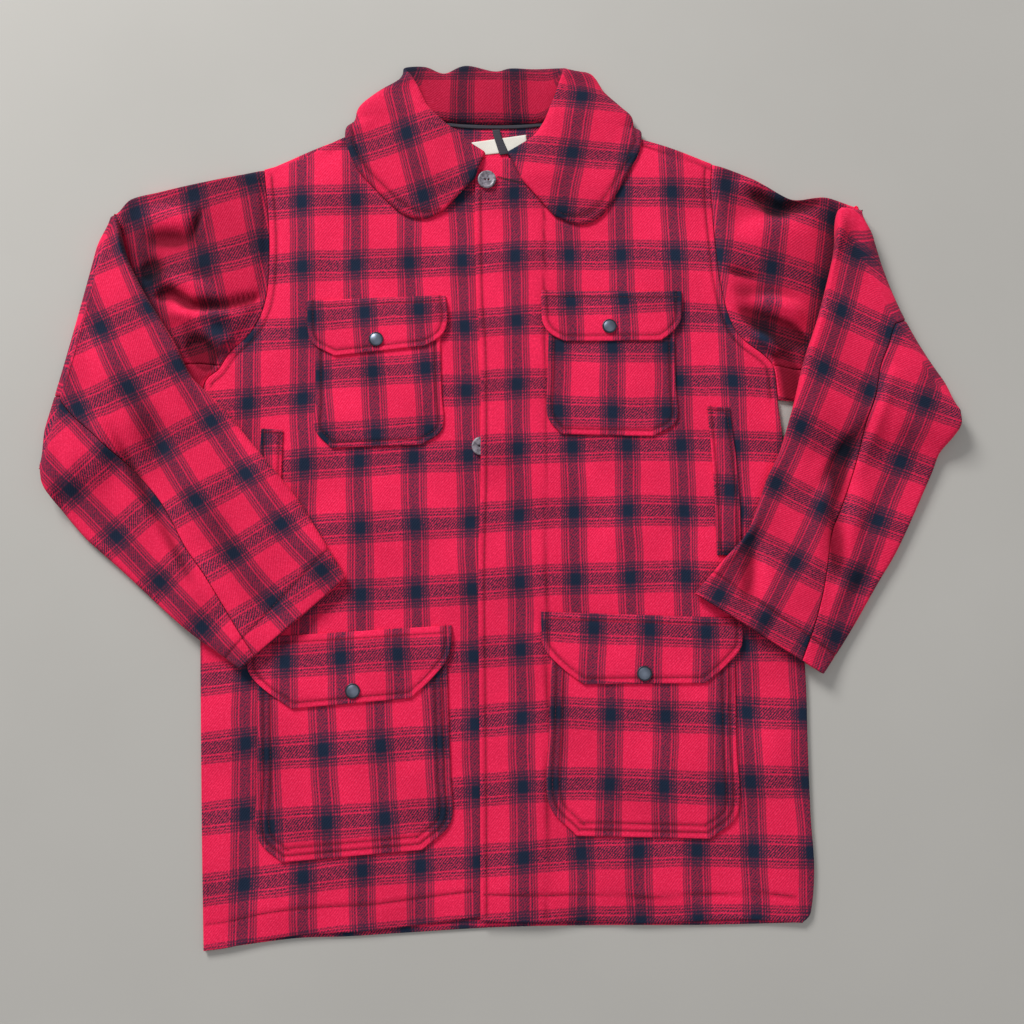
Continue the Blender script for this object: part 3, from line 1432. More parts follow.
@dataclass
class PatchPockets:
    """Chest and hip pockets, their flaps and the hand-pocket welts."""

    step: float = 3.6
    edge: float = 6.0
    inner: float = 13.0
    welt_edge: float = 3.5

    def flat_piece(self, part: LevelPiece, underside: Height, lines: list[Array],
                   marks: Sequence[float], ends: float) -> ClothPiece:
        """Lays one patch, flap or welt on what carries it.

        Args:
            part: the patch, flap or welt.
            underside: the height of its underside.
            lines: its stitch lines.
            marks: how far inside the edge they run.
            ends: how much at each side keeps its width.

        Returns:
            The piece, ready to be sewn on.
        """
        plan = part.grid(self.step, marks, ends)
        under = np.dstack([plan, underside(plan[..., 0], plan[..., 1])])
        return ClothPiece(part.name, under + np.array([0, 0, CLOTH]), under, part.chart.on(plan),
                          lines=lines)

    def build(self, tailor: Tailor) -> None:
        """Builds the pockets, welts and flaps with their stitching.

        Args:
            tailor: places and reports the pieces.
        """
        rows: list[Array] = []
        for pocket in POCKETS:
            top = side_top(pocket.name)
            distances = [self.edge] if "chest" in pocket.name else [self.edge, self.inner]
            lines = [laid_line(inset(pocket.border(), -d), lambda x, y: top(x, y) + PLY_GAP + CLOTH)
                     for d in distances]
            patch = self.flat_piece(pocket, lambda x, y: top(x, y) + PLY_GAP, lines, distances, 20)
            tailor.sew(patch)
            rows += lines
        for welt in WELTS:
            top = side_top(welt.name)
            ring = np.vstack([welt.border(), welt.border()[:1]])
            line = laid_line(inset(ring, -self.welt_edge), lambda x, y: top(x, y) + PLY_GAP + CLOTH)
            tailor.sew(self.flat_piece(welt, lambda x, y: top(x, y) + PLY_GAP, [line],
                                       [self.welt_edge], 7))
            rows.append(line)
        for flap in FLAPS:
            under = lambda x, y, flap=flap: flap_underside(flap, x, y)
            over = lambda x, y, flap=flap: flap_underside(flap, x, y) + CLOTH
            left, right = np.array(flap.levels[0][:2]), np.array(flap.levels[0][2:])
            seam = np.linspace(left, right, 80)[2:-2] - [0, 7]
            lines = [laid_line(inset(flap.border(), -self.edge), over), laid_line(seam, over)]
            tailor.sew(self.flat_piece(flap, under, lines, [self.edge], 18))
            rows += lines
        tailor.stitch("pocket_stitches", rows)


@dataclass(frozen=True)
class SleeveShape:
    """Tables of one sleeve: rings across the tube from armhole to cuff.

    Arm rows: top x and y, bottom x and y, bow, seam, rise. The fold has no rise. Forearm rows
    end with the rise at the top edge, mid width and bottom edge.
    """

    side: str
    armhole: Place
    armhole_from: float
    outward: int
    arm: tuple[tuple[float, ...], ...]
    fold: tuple[float, ...]
    forearm: tuple[tuple[float, ...], ...]
    arm_folds: tuple[tuple[float, ...], ...]
    forearm_folds: tuple[tuple[float, ...], ...]
    arm_creases: tuple[tuple[float, ...], ...]
    forearm_creases: tuple[tuple[float, ...], ...]
    arm_chart: BentChart
    forearm_chart: BentChart
    under_chart: BentChart


RIGHT_SLEEVE = SleeveShape(
    "right", RIGHT_OUTER, 0.66, -1,
    ((-251.9, 367.3, -306.9, 128.2, 0, 0.78, 4.8), (-283, 359, -333, 120, 0, 0.78, 7.2),
     (-326, 349.5, -368, 105, 0, 0.77, 8), (-360, 341, -402, 86, 0, 0.76, 8),
     (-389, 333, -430, 62, 2, 0.75, 8)),
    (-404, 319, -465, 41, -2, 0.73),
    ((-401, 309, -462, 27, 4, 0.7, 10, 11, 10.5), (-388, 265, -454, 13, 3, 0.67, 12.5, 10.5, 10),
     (-369, 228, -444, 0, 2, 0.64, 14, 10, 9.5), (-351, 199, -433, -13, 0, 0.62, 14, 9.5, 9),
     (-333, 171, -419, -28, -2, 0.6, 13, 9.2, 8.5), (-317, 139, -402, -43, -2, 0.585, 11, 9, 8.2),
     (-297, 119, -384, -58, -3, 0.6, 9.5, 8.8, 8), (-279, 101, -366, -74, -2, 0.63, 9, 8.6, 8),
     (-256, 73, -345, -93, -1, 0.67, 8.8, 8.6, 8), (-233, 46, -322, -112, 0, 0.7, 8.6, 8.6, 8),
     (-203, 9, -297, -131, 0, 0.76, 8.4, 8.4, 7.8), (-176, -33, -275, -146, 0, 0.81, 8.2, 8.2, 7.6),
     (-153.5, -68, -256, -158.5, 0, 0.86, 7.8, 8, 7.4)),
    ((-262, 262, -352, 246, 13, 3.2), (-270, 300, -335, 296, 16, -1.6),
     (-285, 215, -345, 228, 11, 2.4), (-262, 340, -350, 300, 18, 1.8),
     (-300, 178, -330, 190, 9, 2.2)),
    ((-440, 115, -372, 28, 13, 2.2), (-414, 86, -356, 12, 10, -1.6),
     (-408, 210, -345, 95, 20, 1.2), (-352, -18, -300, -78, 12, 1.3),
     (-432, 60, -398, 8, 12, 1.5)),
    ((-360, 224, -342, 230, 6, -4), (-344, 230, -322, 216, 5, -3.6),
     (-325, 215, -284, 215, 6, -3.8),
     (-290, 215, -242, 228, 5, -3.2), (-351, 208, -315, 201, 8, 3), (-319, 202, -273, 206, 8, 2.4),
     (-343, 242, -298, 231, 8, 1.6), (-325, 178, -296, 150, 14, -4.8),
     (-374, 263, -363, 242, 14, -3.6),
     (-371, 289, -324, 287, 10, -2.2), (-316, 317, -324, 291, 4, -2.4),
     (-301, 186, -272, 165, 8, 2.2),
     (-369, 315, -327, 307, 12, 1.4)),
    ((-397, 83, -351, -3, 6, -2.4), (-351, -3, -308, -71, 5, -1.8), (-417, 110, -385, 40, 9, 2.2),
     (-379, 117, -343, 55, 14, -1.6), (-343, 55, -264, -43, 14, -1.5),
     (-412, 170, -378, 96, 12, 1.8), (-354, 81, -322, 30, 12, 1.4), (-446, 91, -418, 40, 12, 1.6),
     (-326, 40, -285, -21, 14, 1.4), (-300, 107, -199, -36, 12, 1.3),
     (-398, 299, -386, 259, 8, 2.2), (-299, -51, -265, -101, 10, 1.3)),
    BentChart((4.5, 92.0, 18.1, 0.8), (21.2, -29.6, 88.8)),
    BentChart((2.7, 69.7, 69.5, -2.0, 3.6, -2.9), (9.6, -72.6, 102.1, -3.5, 3.4, 0.2)),
    BentChart((-36.3, 72.5, 72.8), (14.0, -72.7, 77.3)))
LEFT_SLEEVE = SleeveShape(
    "left", LEFT_OUTER, 0.67, 1,
    ((225.1, 373.8, 286.5, 115.8, 0, 0.78, 4.8), (252, 362, 311, 114, 0, 0.78, 7.2),
     (279, 347.5, 340, 111, 0, 0.77, 8), (306, 333, 376, 108, 1, 0.76, 8),
     (343, 335, 421, 106, 4, 0.75, 8)),
    (375, 325, 469, 100, -18, 0.55),
    ((354, 318, 469, 88, -11, 0.53, 11, 11, 10.5), (347, 273, 461, 75, -7, 0.5, 13, 10.5, 10),
     (338, 237, 449, 60, -4, 0.49, 13.5, 10, 9.5), (326, 196, 441, 41, -2, 0.5, 13, 9.6, 9),
     (311, 154, 431, 20, 0, 0.5, 12, 9.4, 8.6), (300, 112, 419, -5, 0, 0.52, 11, 9.2, 8.2),
     (292, 84, 408, -27, 0, 0.53, 10, 9, 8), (283, 58, 397, -47, 0, 0.54, 9.4, 8.8, 8),
     (271, 34, 384, -67, 0, 0.57, 9, 8.6, 8), (260, 5, 371, -88, 1, 0.62, 8.8, 8.6, 7.8),
     (247, -24, 357, -111, 2, 0.68, 8.6, 8.4, 7.8), (222, -52, 340, -137, 1, 0.76, 8.2, 8.2, 7.6),
     (194, -84, 320, -163.5, 0, 0.83, 7.8, 8, 7.4)),
    ((245, 222, 312, 172, 12, 3.4), (240, 300, 318, 262, 16, 2.0),
     (262, 262, 322, 212, 10, -1.8), (268, 172, 302, 140, 10, 2.4),
     (262, 338, 318, 318, 13, 1.6)),
    ((362, 300, 352, 245, 8, -2.6), (392, 20, 344, -70, 11, -2.4), (372, 40, 330, -78, 13, 2.2),
     (398, 120, 362, 40, 16, 1.6), (262, -28, 238, -66, 9, -2.6), (330, 140, 312, 70, 14, 1.4)),
    ((264, 340, 294, 317, 7, -3.6), (285, 318, 332, 329, 7, -3.8), (252, 209, 292, 189, 8, -5),
     (280, 196, 322, 173, 9, -5), (270, 224, 316, 204, 9, 3.2), (232, 256, 268, 247, 4, -2),
     (290, 168, 302, 112, 16, -4.6), (250, 349, 276, 345, 8, 1.6), (249, 296, 315, 302, 13, 1.6),
     (258, 183, 285, 168, 7, 2.2), (244, 232, 302, 226, 8, -1.2)),
    ((359, 313, 348, 272, 8, 3.2), (377, 311, 371, 274, 9, -3.0), (354, 71, 338, -6, 7, -2.8),
     (338, -6, 340, -63, 8, -3.2), (328, 40, 319, -51, 11, 2.4), (377, 93, 319, 19, 8, -2.4),
     (401, 141, 364, 40, 7, 2.6), (364, 40, 356, -51, 10, 1.6), (250, -33, 246, -91, 7, -2.8),
     (266, -47, 269, -95, 10, 1.8), (370, -47, 346, -95, 9, -1.8), (344, -71, 332, -105, 9, 1.8),
     (324, 218, 305, 112, 16, 1.5)),
    BentChart((-14.3, 96.8, -13.9), (-37.6, 29.1, 90.3)),
    BentChart((27.5, 93.8, -51.3, 0.6, 0.7, 4.0), (-21.4, 48.2, 97.8, 0.0, -0.7, 0.3)),
    BentChart((36.3, 95.9, -39.8, -1.0, 1.0), (1.4, 39.2, 104.9, -0.3, -0.8)))


def level_outline(part: LevelPiece) -> Array:
    """Returns a level piece's outline."""
    cells = np.asarray(part.levels)
    return np.vstack([cells[:, :2], cells[::-1, 2:]])


@dataclass
class Sleeve:
    """A set-in sleeve, pressed flat and folded over itself: a top sleeve and an under sleeve."""

    shape: SleeveShape
    step: float = 3.4
    cuff_stitch: float = 26.0
    front_seam: float = 0.86
    roll_steps: int = 7
    arm_depth: float = 2.4
    forearm_depth: float = 1.8
    roll_lean: float = 0.034
    arm_lift: float = 4.2
    counts: list[int] = field(init=False, default_factory=list)
    fold_start: float = field(init=False, default=0.0)
    fold_middle: float = field(init=False, default=0.0)
    flat_from: float = field(init=False, default=0.0)
    hollow: Array | None = field(init=False, default=None)

    def pads(self) -> list[tuple[Array, float, float, float]]:
        """Returns what the forearm lies on: outline, height, margin and ramp.

        Returns:
            One row for each thing.
        """
        rings = [*self.shape.arm, self.shape.fold]
        arm = np.vstack([[r[:2] for r in rings], [r[2:4] for r in rings][::-1]])
        return [
            (BODY_OUTLINE, 7.6, 7, 36), (level_outline(WELTS[0]), 10.2, 5, 18),
            (level_outline(WELTS[1]), 10.6, 5, 18), (level_outline(FLAPS[2]), 12.4, 8, 30),
            (level_outline(FLAPS[3]), 12.8, 8, 30), (arm, ARM_HEIGHT + 1.6, 15, 34)]

    def support(self, x: Array, y: Array) -> Array:
        """Returns the height of what lies beneath the forearm.

        Args:
            x: places across.
            y: places along.

        Returns:
            The heights.
        """
        return np.maximum.reduce([
            height * smoothstep(depth_inside(outline, x, y), -margin - ramp, -margin)
            for outline, height, margin, ramp in self.pads()])

    def on_ring(
        self, row: Sequence[float], w: Array, shift: float | Array = 0.0
    ) -> Array:
        """Returns plan points across a ring at fractions w, moved outwards by shift.

        Args:
            row: the ring's row.
            w: fractions of its width.
            shift: how far they move.

        Returns:
            The plan points.
        """
        start, way = np.array(row[:2]), np.array(row[2:4]) - np.array(row[:2])
        normal = self.shape.outward * np.array([-way[1], way[0]]) / np.linalg.norm(way)
        side = row[4] * 4 * w * (1 - w) + shift
        return start + way * w[:, None] + normal * side[:, None]

    def armhole_place(self, w: Array) -> Array:
        """Returns plan points beside the armhole at fractions w of the first ring.

        Args:
            w: fractions of its width.

        Returns:
            The plan points.
        """
        place = 1 + (self.shape.armhole_from - 1) * w
        before, after = self.shape.armhole(place - 0.006), self.shape.armhole(place + 0.006)
        way = after - before
        reach = self.shape.outward * ARMHOLE_GAP * (1 + w**4) / np.linalg.norm(way, axis=1)
        side = np.stack([way[:, 1], -way[:, 0]], axis=-1)
        return self.shape.armhole(place) + side * reach[:, None]

    def columns(self, row: Sequence[float]) -> tuple[Array, Array, Array]:
        """Returns the ring's places w, spreads and whether each lies on the outer wall.

        Args:
            row: the ring's row.

        Returns:
            Three arrays, from the elbow seam over the top edge and the inner wall round to it.
        """
        length = math.hypot(row[2] - row[0], row[3] - row[1])
        a, seam = SLEEVE_EDGE / length, row[5]
        angle = np.linspace(0, math.pi / 2, self.roll_steps + 1)[1:-1]
        roll, spread = a * (1 - np.cos(angle)), np.sin(angle)
        near = stations(1000, 1000 * self.step / 170, [], rim=False) / 1000
        near = np.unique(np.concatenate([[0.005, 0.014, 0.022], near]))
        wide = stations(1000, 1000 * self.step / 220, [], rim=False) / 1000
        wide = np.unique(np.concatenate([wide, 1 - np.array([0.004, 0.011, 0.018])]))
        small = np.linspace(0, 1, 12)
        far = np.unique(np.concatenate([np.linspace(0, 1, 22), [0.985, 0.96]]))
        parts = [
            (seam + (a - seam) * near, 1.0, True), (roll[::-1], spread[::-1], True),
            (np.array([0.0]), 0.0, True), (roll, spread, False),
            (a + (self.front_seam - a) * wide, 1.0, False),
            (self.front_seam + (1 - a - self.front_seam) * small[1:], 1.0, False),
            (1 - roll[::-1], spread[::-1], False), (np.array([1.0]), 0.0, True),
            (1 - roll, spread, True), ((1 - a) + (seam - 1 + a) * far[:-1], 1.0, True)]
        w = np.concatenate([part[0] for part in parts])
        s = np.concatenate([np.broadcast_to(part[1], part[0].shape) for part in parts])
        outer = np.concatenate([np.full(len(part[0]), part[2]) for part in parts])
        self.counts = [len(part[0]) for part in parts]
        return w, s, outer

    def rings(self) -> list[Array]:
        """Returns the points of every ring in the tables, armhole first.

        Returns:
            One array for each ring.
        """
        shape, found = self.shape, []
        for k, row in enumerate(shape.arm):
            w, s, outer = self.columns(row)
            plan = self.armhole_place(w) if k == 0 else self.on_ring(row, w)
            crease = 0 if k == 0 else fold_height(shape.arm_folds, plan[:, 0], plan[:, 1])
            found.append(self.between(plan, plan, 0 * w, row[6] + crease + 0 * w, s, outer))
        w, s, outer = self.columns(shape.fold)
        full = 0.15 + 0.85 * smoothstep(np.minimum(w, 1 - w), 0, 0.16)
        for degrees in (0, 45, 90, 135, 180):
            turn = math.radians(degrees)
            # The upper end of the roll leans toward the cuff, so that it ends in a round corner.
            place = w + self.roll_lean * (1 - math.cos(turn)) / 2 * (1 - w) ** 8
            walls = [(self.on_ring(shape.fold, place, radius * math.sin(turn) * full),
                      base + radius * (1 - math.cos(turn)) + 0 * w)
                     for radius, base in ((FOLD_RADIUS, 0.0), (CREASE_RADIUS, ARM_HEIGHT))]
            found.append(self.between(walls[0][0], walls[1][0], walls[0][1], walls[1][1], s, outer))
        for row in shape.forearm:
            w, s, outer = self.columns(row)
            plan = self.on_ring(row, w)
            low = self.support(plan[:, 0], plan[:, 1]) + 2 * PLY_GAP
            rise = (row[6] * (1 - w) * (1 - 2 * w) + row[7] * 4 * w * (1 - w)
                    + row[8] * w * (2 * w - 1))
            high = low + rise + fold_height(shape.forearm_folds, plan[:, 0], plan[:, 1])
            found.append(self.between(plan, plan, high, low, s, outer))
        return found

    @staticmethod
    def between(outer_plan: Array, inner_plan: Array, outer_z: Array,
                inner_z: Array, spread: Array, outer: Array) -> Array:
        """Returns ring points that spread from the tube's middle to one of its walls.

        Args:
            outer_plan: the outer wall's plan points.
            inner_plan: the inner wall's plan points.
            outer_z: the outer wall's heights.
            inner_z: the inner wall's heights.
            spread: 0 at the middle, 1 at a wall.
            outer: whether a point is the outer wall's.

        Returns:
            The ring's points.
        """
        one = np.column_stack([outer_plan, outer_z])
        two = np.column_stack([inner_plan, inner_z])
        middle = (one + two) / 2
        return middle + (np.where(outer[:, None], one, two) - middle) * spread[:, None]

    def tube(self) -> tuple[Array, Array]:
        """Runs the cloth smoothly through the rings.

        Returns:
            The outside grid and each row's place along the sleeve.
        """
        rings = np.array(self.rings())
        gaps = np.linalg.norm(np.diff(rings, axis=0), axis=2).mean(axis=1)
        places = np.concatenate([[0], np.cumsum(gaps)])
        through = curve_through(np.column_stack([places, rings.reshape(len(rings), -1)]))
        total = places[-1]
        rows = stations(total, self.step, [total - self.cuff_stitch, 7])
        fold = np.linspace(places[len(self.shape.arm)], places[len(self.shape.arm) + 4], 15)
        rows = np.unique(np.concatenate([rows, fold]).round(2))
        self.fold_start, self.fold_middle = fold[0], fold[7]
        self.flat_from = places[len(self.shape.arm) + 5]
        return self.creased(through(rows).reshape(len(rows), -1, 3), rows), rows

    def creased(self, grid: Array, rows: Array) -> Array:
        """Adds the creases of the walls that face up: the inner one on the arm, then the outer.

        Args:
            grid: the outside of the tube, changed in place.
            rows: each row's place along the sleeve.

        Returns:
            The grid.
        """
        w, spread, outer = self.columns(self.shape.fold)
        x, y = grid[..., 0], grid[..., 1]
        over = np.vstack([[r[:2] for r in self.shape.forearm],
                          [r[2:4] for r in self.shape.forearm][::-1]])
        covered = smoothstep(depth_inside(over, x, y), -26, 4)
        before = (smoothstep(self.fold_start - rows, 0, 30) * smoothstep(rows, 0, 12))[:, None]
        after = smoothstep(rows - self.fold_middle, 4, 30)[:, None]
        rise = self.arm_depth * fold_height(self.shape.arm_creases, x, y) + self.arm_lift
        arm = np.where(rise > 0, rise * (1 - covered), rise) * spread * ~outer * before
        fore = self.forearm_depth * fold_height(self.shape.forearm_creases, x, y)
        fore = fore * spread * outer * after
        # A crease goes no deeper than the wall beneath it allows.
        least = np.where(outer, (self.support(x, y) + 6.6) * after, 5.6 * before) * (spread > 0.9)
        raised = np.maximum(grid[..., 2] + arm + fore, np.minimum(grid[..., 2], least))
        lift = self.arm_lift * (1 - covered) * spread * before
        shade = np.where(outer, np.clip(0.12 - fore / 5.5, 0, 0.75) * after,
                         np.clip(0.34 - (arm - lift) / 5.2, 0, 0.92) * before)
        armpit = smoothstep(w, self.front_seam - 0.1, self.front_seam)
        pit = np.maximum(0.66 * covered, 0.72 * armpit)
        self.hollow = np.maximum(shade, pit * before * ~outer) * (spread > 0.5)
        grid[..., 2] = raised
        return grid

    def extended(self, chart: Array, points: Array, start: int, stop: int) -> None:
        """Runs a chart on along the ring by the cloth's own length, past column start.

        Args:
            chart: the chart, changed in place.
            points: the grid of points.
            start: the last column that is right.
            stop: the last column to fill, before or after start.
        """
        way = 1 if stop > start else -1
        inner = start - 3 * way
        change = chart[:, start] - chart[:, inner]
        length = np.linalg.norm(points[:, start] - points[:, inner], axis=1)
        change /= np.maximum(length, 1e-6)[:, None]
        for column in range(start + way, stop + way, way):
            step = np.linalg.norm(points[:, column] - points[:, column - way], axis=1)
            chart[:, column] = chart[:, column - way] + change * step[:, None]

    def run_back(self, chart: Array, points: Array, row: int) -> None:
        """Runs a chart back over the fold from a flat row, by the cloth's own length.

        Args:
            chart: the chart, changed in place.
            points: the grid of points.
            row: the first row that is right.
        """
        change = chart[row] - chart[row + 3]
        change /= np.maximum(np.linalg.norm(points[row] - points[row + 3], axis=1), 1e-6)[:, None]
        for k in range(row - 1, -1, -1):
            step = np.linalg.norm(points[k] - points[k + 1], axis=1)
            chart[k] = chart[k + 1] + change * step[:, None]

    def build(self, tailor: Tailor) -> None:
        """Builds the top sleeve, the under sleeve and their stitching.

        Args:
            tailor: places and reports the pieces.
        """
        shape = self.shape
        outside, places = self.tube()
        inside = offset_grid(outside, shape.outward * CLOTH, closed=True)
        counts = np.cumsum([0, *self.counts])
        seam = counts[5] - 1
        flat = int(np.searchsorted(places, self.flat_from))
        middle = int(np.searchsorted(places, self.fold_middle))
        cuff = int(np.argmin(np.abs(places - (places[-1] - self.cuff_stitch))))
        parts = {
            "top": ([*range(seam + 1)], shape.forearm_chart),
            "under": ([*range(seam, outside.shape[1]), 0], shape.under_chart)}
        rows: list[Array] = []
        for part, (picked, forearm_chart) in parts.items():
            out = drawn_in(outside[:, picked], SEAM_GAP)
            inner = drawn_in(inside[:, picked], SEAM_GAP)
            plan = out[..., :2]
            fore, arm = forearm_chart.on(plan), shape.arm_chart.on(plan)
            if part == "top":
                first, last = counts[1] - 1, counts[4]
                self.extended(fore, out, first, len(picked) - 1)
                self.extended(arm, out, last, 0)
                hidden = np.arange(len(picked) - 1) < first
            else:
                first, last = counts[9] - seam, counts[6] - seam - 1
                self.extended(fore, out, first, 0)
                self.extended(arm, out, last, len(picked) - 1)
                hidden = np.arange(len(picked) - 1) >= first
            self.run_back(fore, out, flat)
            uses_arm = np.zeros((len(out) - 1, len(picked) - 1), bool)
            uses_arm[:middle] = ~hidden
            line = resampled(out[cuff], LINE_STEP)
            piece = ClothPiece(f"{shape.side}_{part}_sleeve", out, inner, fore, arm, uses_arm,
                               [line], hollow=self.hollow[:, picked])
            tailor.sew(piece)
            rows.append(line)
        tailor.stitch(f"{shape.side}_sleeve_stitches", rows)


COLLAR_ROWS = [
    [-16, 378.2, -16.5, 382, -27, 353, -60, 320, 1, 0],
    [-38, 380, -32.5, 393, -55, 350, -80, 311, 1, 0],
    [-56, 387.8, -46.3, 405, -80, 358, -104, 317, 1, 0],
    [-69.6, 396.8, -60.2, 416.2, -99, 374, -130, 341, 1, 0],
    [-77, 406, -71, 426.4, -116, 392, -151.5, 365, 1, 0],
    [-79.5, 413, -79.5, 436, -130, 412, -163.5, 392, 1, 0],
    [-79, 415.5, -82, 441, -138, 421, -165.5, 406, 1, 0],
    [-77.5, 417.8, -85, 447, -150, 426, -163, 415, 0.45, 0],
    [-74.5, 419.1, -88, 453, -152, 434, -151, 412, 0, 0],
    [-70, 419.9, -91, 459, -143, 444, -136, 402, 0, 0],
    [-63, 420, -97, 469, -122, 458, -110, 395, 0, 0],
    [-55, 419.5, -103, 480, -97, 466, -84, 393, 0, 0.7],
    [-46, 419, -82, 482.5, -68, 446, -62, 393, 0, 1],
    [-37, 418.5, -61, 475, -50, 440, -46, 393, 0, 1],
    [-23, 417.8, -38, 484, -28, 440, -26, 393, 0, 1],
    [-7, 417.2, -7, 477.5, -7, 440, -7, 393, 0, 1],
    [10, 417.5, 11, 481, 11, 440, 11, 393, 0, 1],
    [27, 418.2, 36, 480, 32, 440, 32, 393, 0, 1],
    [41, 419, 62, 480, 56, 444, 54, 393, 0, 0.8],
    [50, 419.4, 68, 475, 92, 474, 80, 394, 0, 0],
    [56, 419.2, 64, 462, 111, 452, 106, 396, 0, 0],
    [60, 417.7, 60, 450, 130, 434, 124, 400, 0, 0],
    [62, 414.5, 58, 444, 139, 425, 139, 408, 0, 0],
    [62.7, 410.5, 55, 438, 137, 415, 149, 410, 0.45, 0],
    [62, 406.5, 53, 433, 125, 410, 149.5, 399, 1, 0],
    [60, 402, 51, 427, 115, 400, 147, 384, 1, 0],
    [52, 393.5, 45, 414, 95, 380, 131, 354, 1, 0],
    [42, 386.8, 35, 400.5, 78, 362, 109, 317, 1, 0],
    [28.5, 381.5, 20, 390, 53, 350, 86, 304.5, 1, 0],
    [8.5, 378.8, 7.5, 382.5, 23, 351, 57, 313, 1, 0]]


@dataclass
class Collar:
    """One rolled collar: a stand from the neck seam to the roll, and the fall beyond it.

    Each row of the table is a section: neck seam, roll, bend and edge in plan, then how far it
    is of the front kind, its fall on the fronts, and of the back kind, its fall underneath.
    """

    sections: int = 250
    steps: int = 60
    roll_reach: float = 5.0
    front_roll: float = 13.5
    corner_roll: float = 14.0
    back_roll: float = 8.2
    edge_stitch: float = 7.0
    leaf_shade: float = 0.13
    stand_shade: float = 0.42
    right_leaf: BentChart = BentChart(
        (4.2, 101.6, 22.6, 4.3, -0.3), (-405.6, -35.7, 91.8, -1.8, -0.2))
    neck: BentChart = BentChart((30.9, 46.0, 2.1, 0.2, 12.0), (-478.0, 0.7, 99.1, 1.4, 0.2))
    left_leaf: BentChart = BentChart(
        (-12.1, 95.3, -14.2, -0.9, -1.8), (-408.2, 0.3, 105.6, 1.4, 1.3))

    def controls(self, rows: Array) -> Array:
        """Returns the eight shaping points of every section.

        Args:
            rows: sections in the table's columns.

        Returns:
            An array of sections, points and coordinates.
        """
        neck, roll, bend, edge = (rows[:, k:k + 2] for k in (0, 2, 4, 6))
        front, back = rows[:, 8], rows[:, 9]

        def toward(a: Array, b: Array, reach: float) -> Array:
            """Returns points from a towards b by a reach."""
            part = np.minimum(reach / np.maximum(np.linalg.norm(b - a, axis=1), 1e-6), 0.45)
            return a + (b - a) * part[:, None]

        reach = self.roll_reach
        plan = [neck, toward(roll, neck, reach), roll, toward(roll, bend, reach),
                toward(bend, roll, 2 * reach), bend, toward(bend, edge, 2 * reach), edge]
        half, corner = COLLAR_CLOTH / 2, 1 - front - back
        on_back = NECK_LIFT + CLOTH + 2 * PLY_GAP + half

        def on_front(p: Array, extra: float) -> Array:
            """Returns the height of the fall's middle on the fronts.

            Args:
                p: plan points.
                extra: how far it stands off.

            Returns:
                The heights.
            """
            side = smoothstep(p[:, 0], -64, -32)
            top = right_top(p[:, 0], p[:, 1]) * (1 - side) + left_top(p[:, 0], p[:, 1]) * side
            return top + 2 * PLY_GAP + half + extra

        heights = [
            (on_back + 0.6, on_back, on_back), (10.6, self.corner_roll - 2.5, self.back_roll),
            (self.front_roll - 1.2, self.corner_roll, 5.0),
            (self.front_roll + 1.3, self.corner_roll, half + 0.2),
            (on_front(plan[4], 2.2), self.corner_roll - 3, half),
            (on_front(plan[5], 1.4), 6.2, half),
            (on_front(plan[6], 0.7), half + 0.4, half), (on_front(plan[7], 0), half, half)]
        z = [front * a + corner * b + back * c for a, b, c in heights]
        return np.stack([np.column_stack([p, h]) for p, h in zip(plan, z)], axis=1)

    def section_curve(self, points: Array) -> Array:
        """Runs a centripetal curve through each section's shaping points.

        Args:
            points: sections of eight points.

        Returns:
            Sections of evenly many points.
        """
        first, last = 2 * points[:, :1] - points[:, 1:2], 2 * points[:, -1:] - points[:, -2:-1]
        full = np.concatenate([first, points, last], axis=1)
        t = np.linspace(0, 1, self.steps) * (points.shape[1] - 1)
        k = np.minimum(t.astype(int), points.shape[1] - 2)
        s = (t - k)[None, :, None]
        p0, p1, p2, p3 = (full[:, k + n] for n in range(4))
        d0, d1, d2 = (np.maximum(np.linalg.norm(b - a, axis=2, keepdims=True) ** 0.5, 1e-4)
                      for a, b in ((p0, p1), (p1, p2), (p2, p3)))
        t1 = ((p1 - p0) / d0 - (p2 - p0) / (d0 + d1) + (p2 - p1) / d1) * d1
        t2 = ((p2 - p1) / d1 - (p3 - p1) / (d1 + d2) + (p3 - p2) / d2) * d1
        return (p1 + t1 * s + (-3 * p1 + 3 * p2 - 2 * t1 - t2) * s**2
                + (2 * p1 - 2 * p2 + t1 + t2) * s**3)

    def chart(self, grid: Array, place: Array) -> Array:
        """Args:
            grid: the collar's points.
            place: each section's place, 0 to 1.

        Returns:
            The cloth coordinates.
        """
        plan = grid[..., :2]
        maps = [leaf.on(plan) for leaf in (self.right_leaf, self.neck, self.left_leaf)]
        for k, spot in ((0, 0.36), (2, 0.66)):
            column = int(np.argmin(np.abs(place - spot)))
            away = (maps[k][column, 30] - maps[1][column, 30]) / CHECK
            maps[k] = maps[k] - np.round(away) * CHECK
        right = (1 - smoothstep(place, 0.3, 0.42))[:, None, None]
        left = smoothstep(place, 0.6, 0.72)[:, None, None]
        return maps[0] * right + maps[2] * left + maps[1] * (1 - right - left)

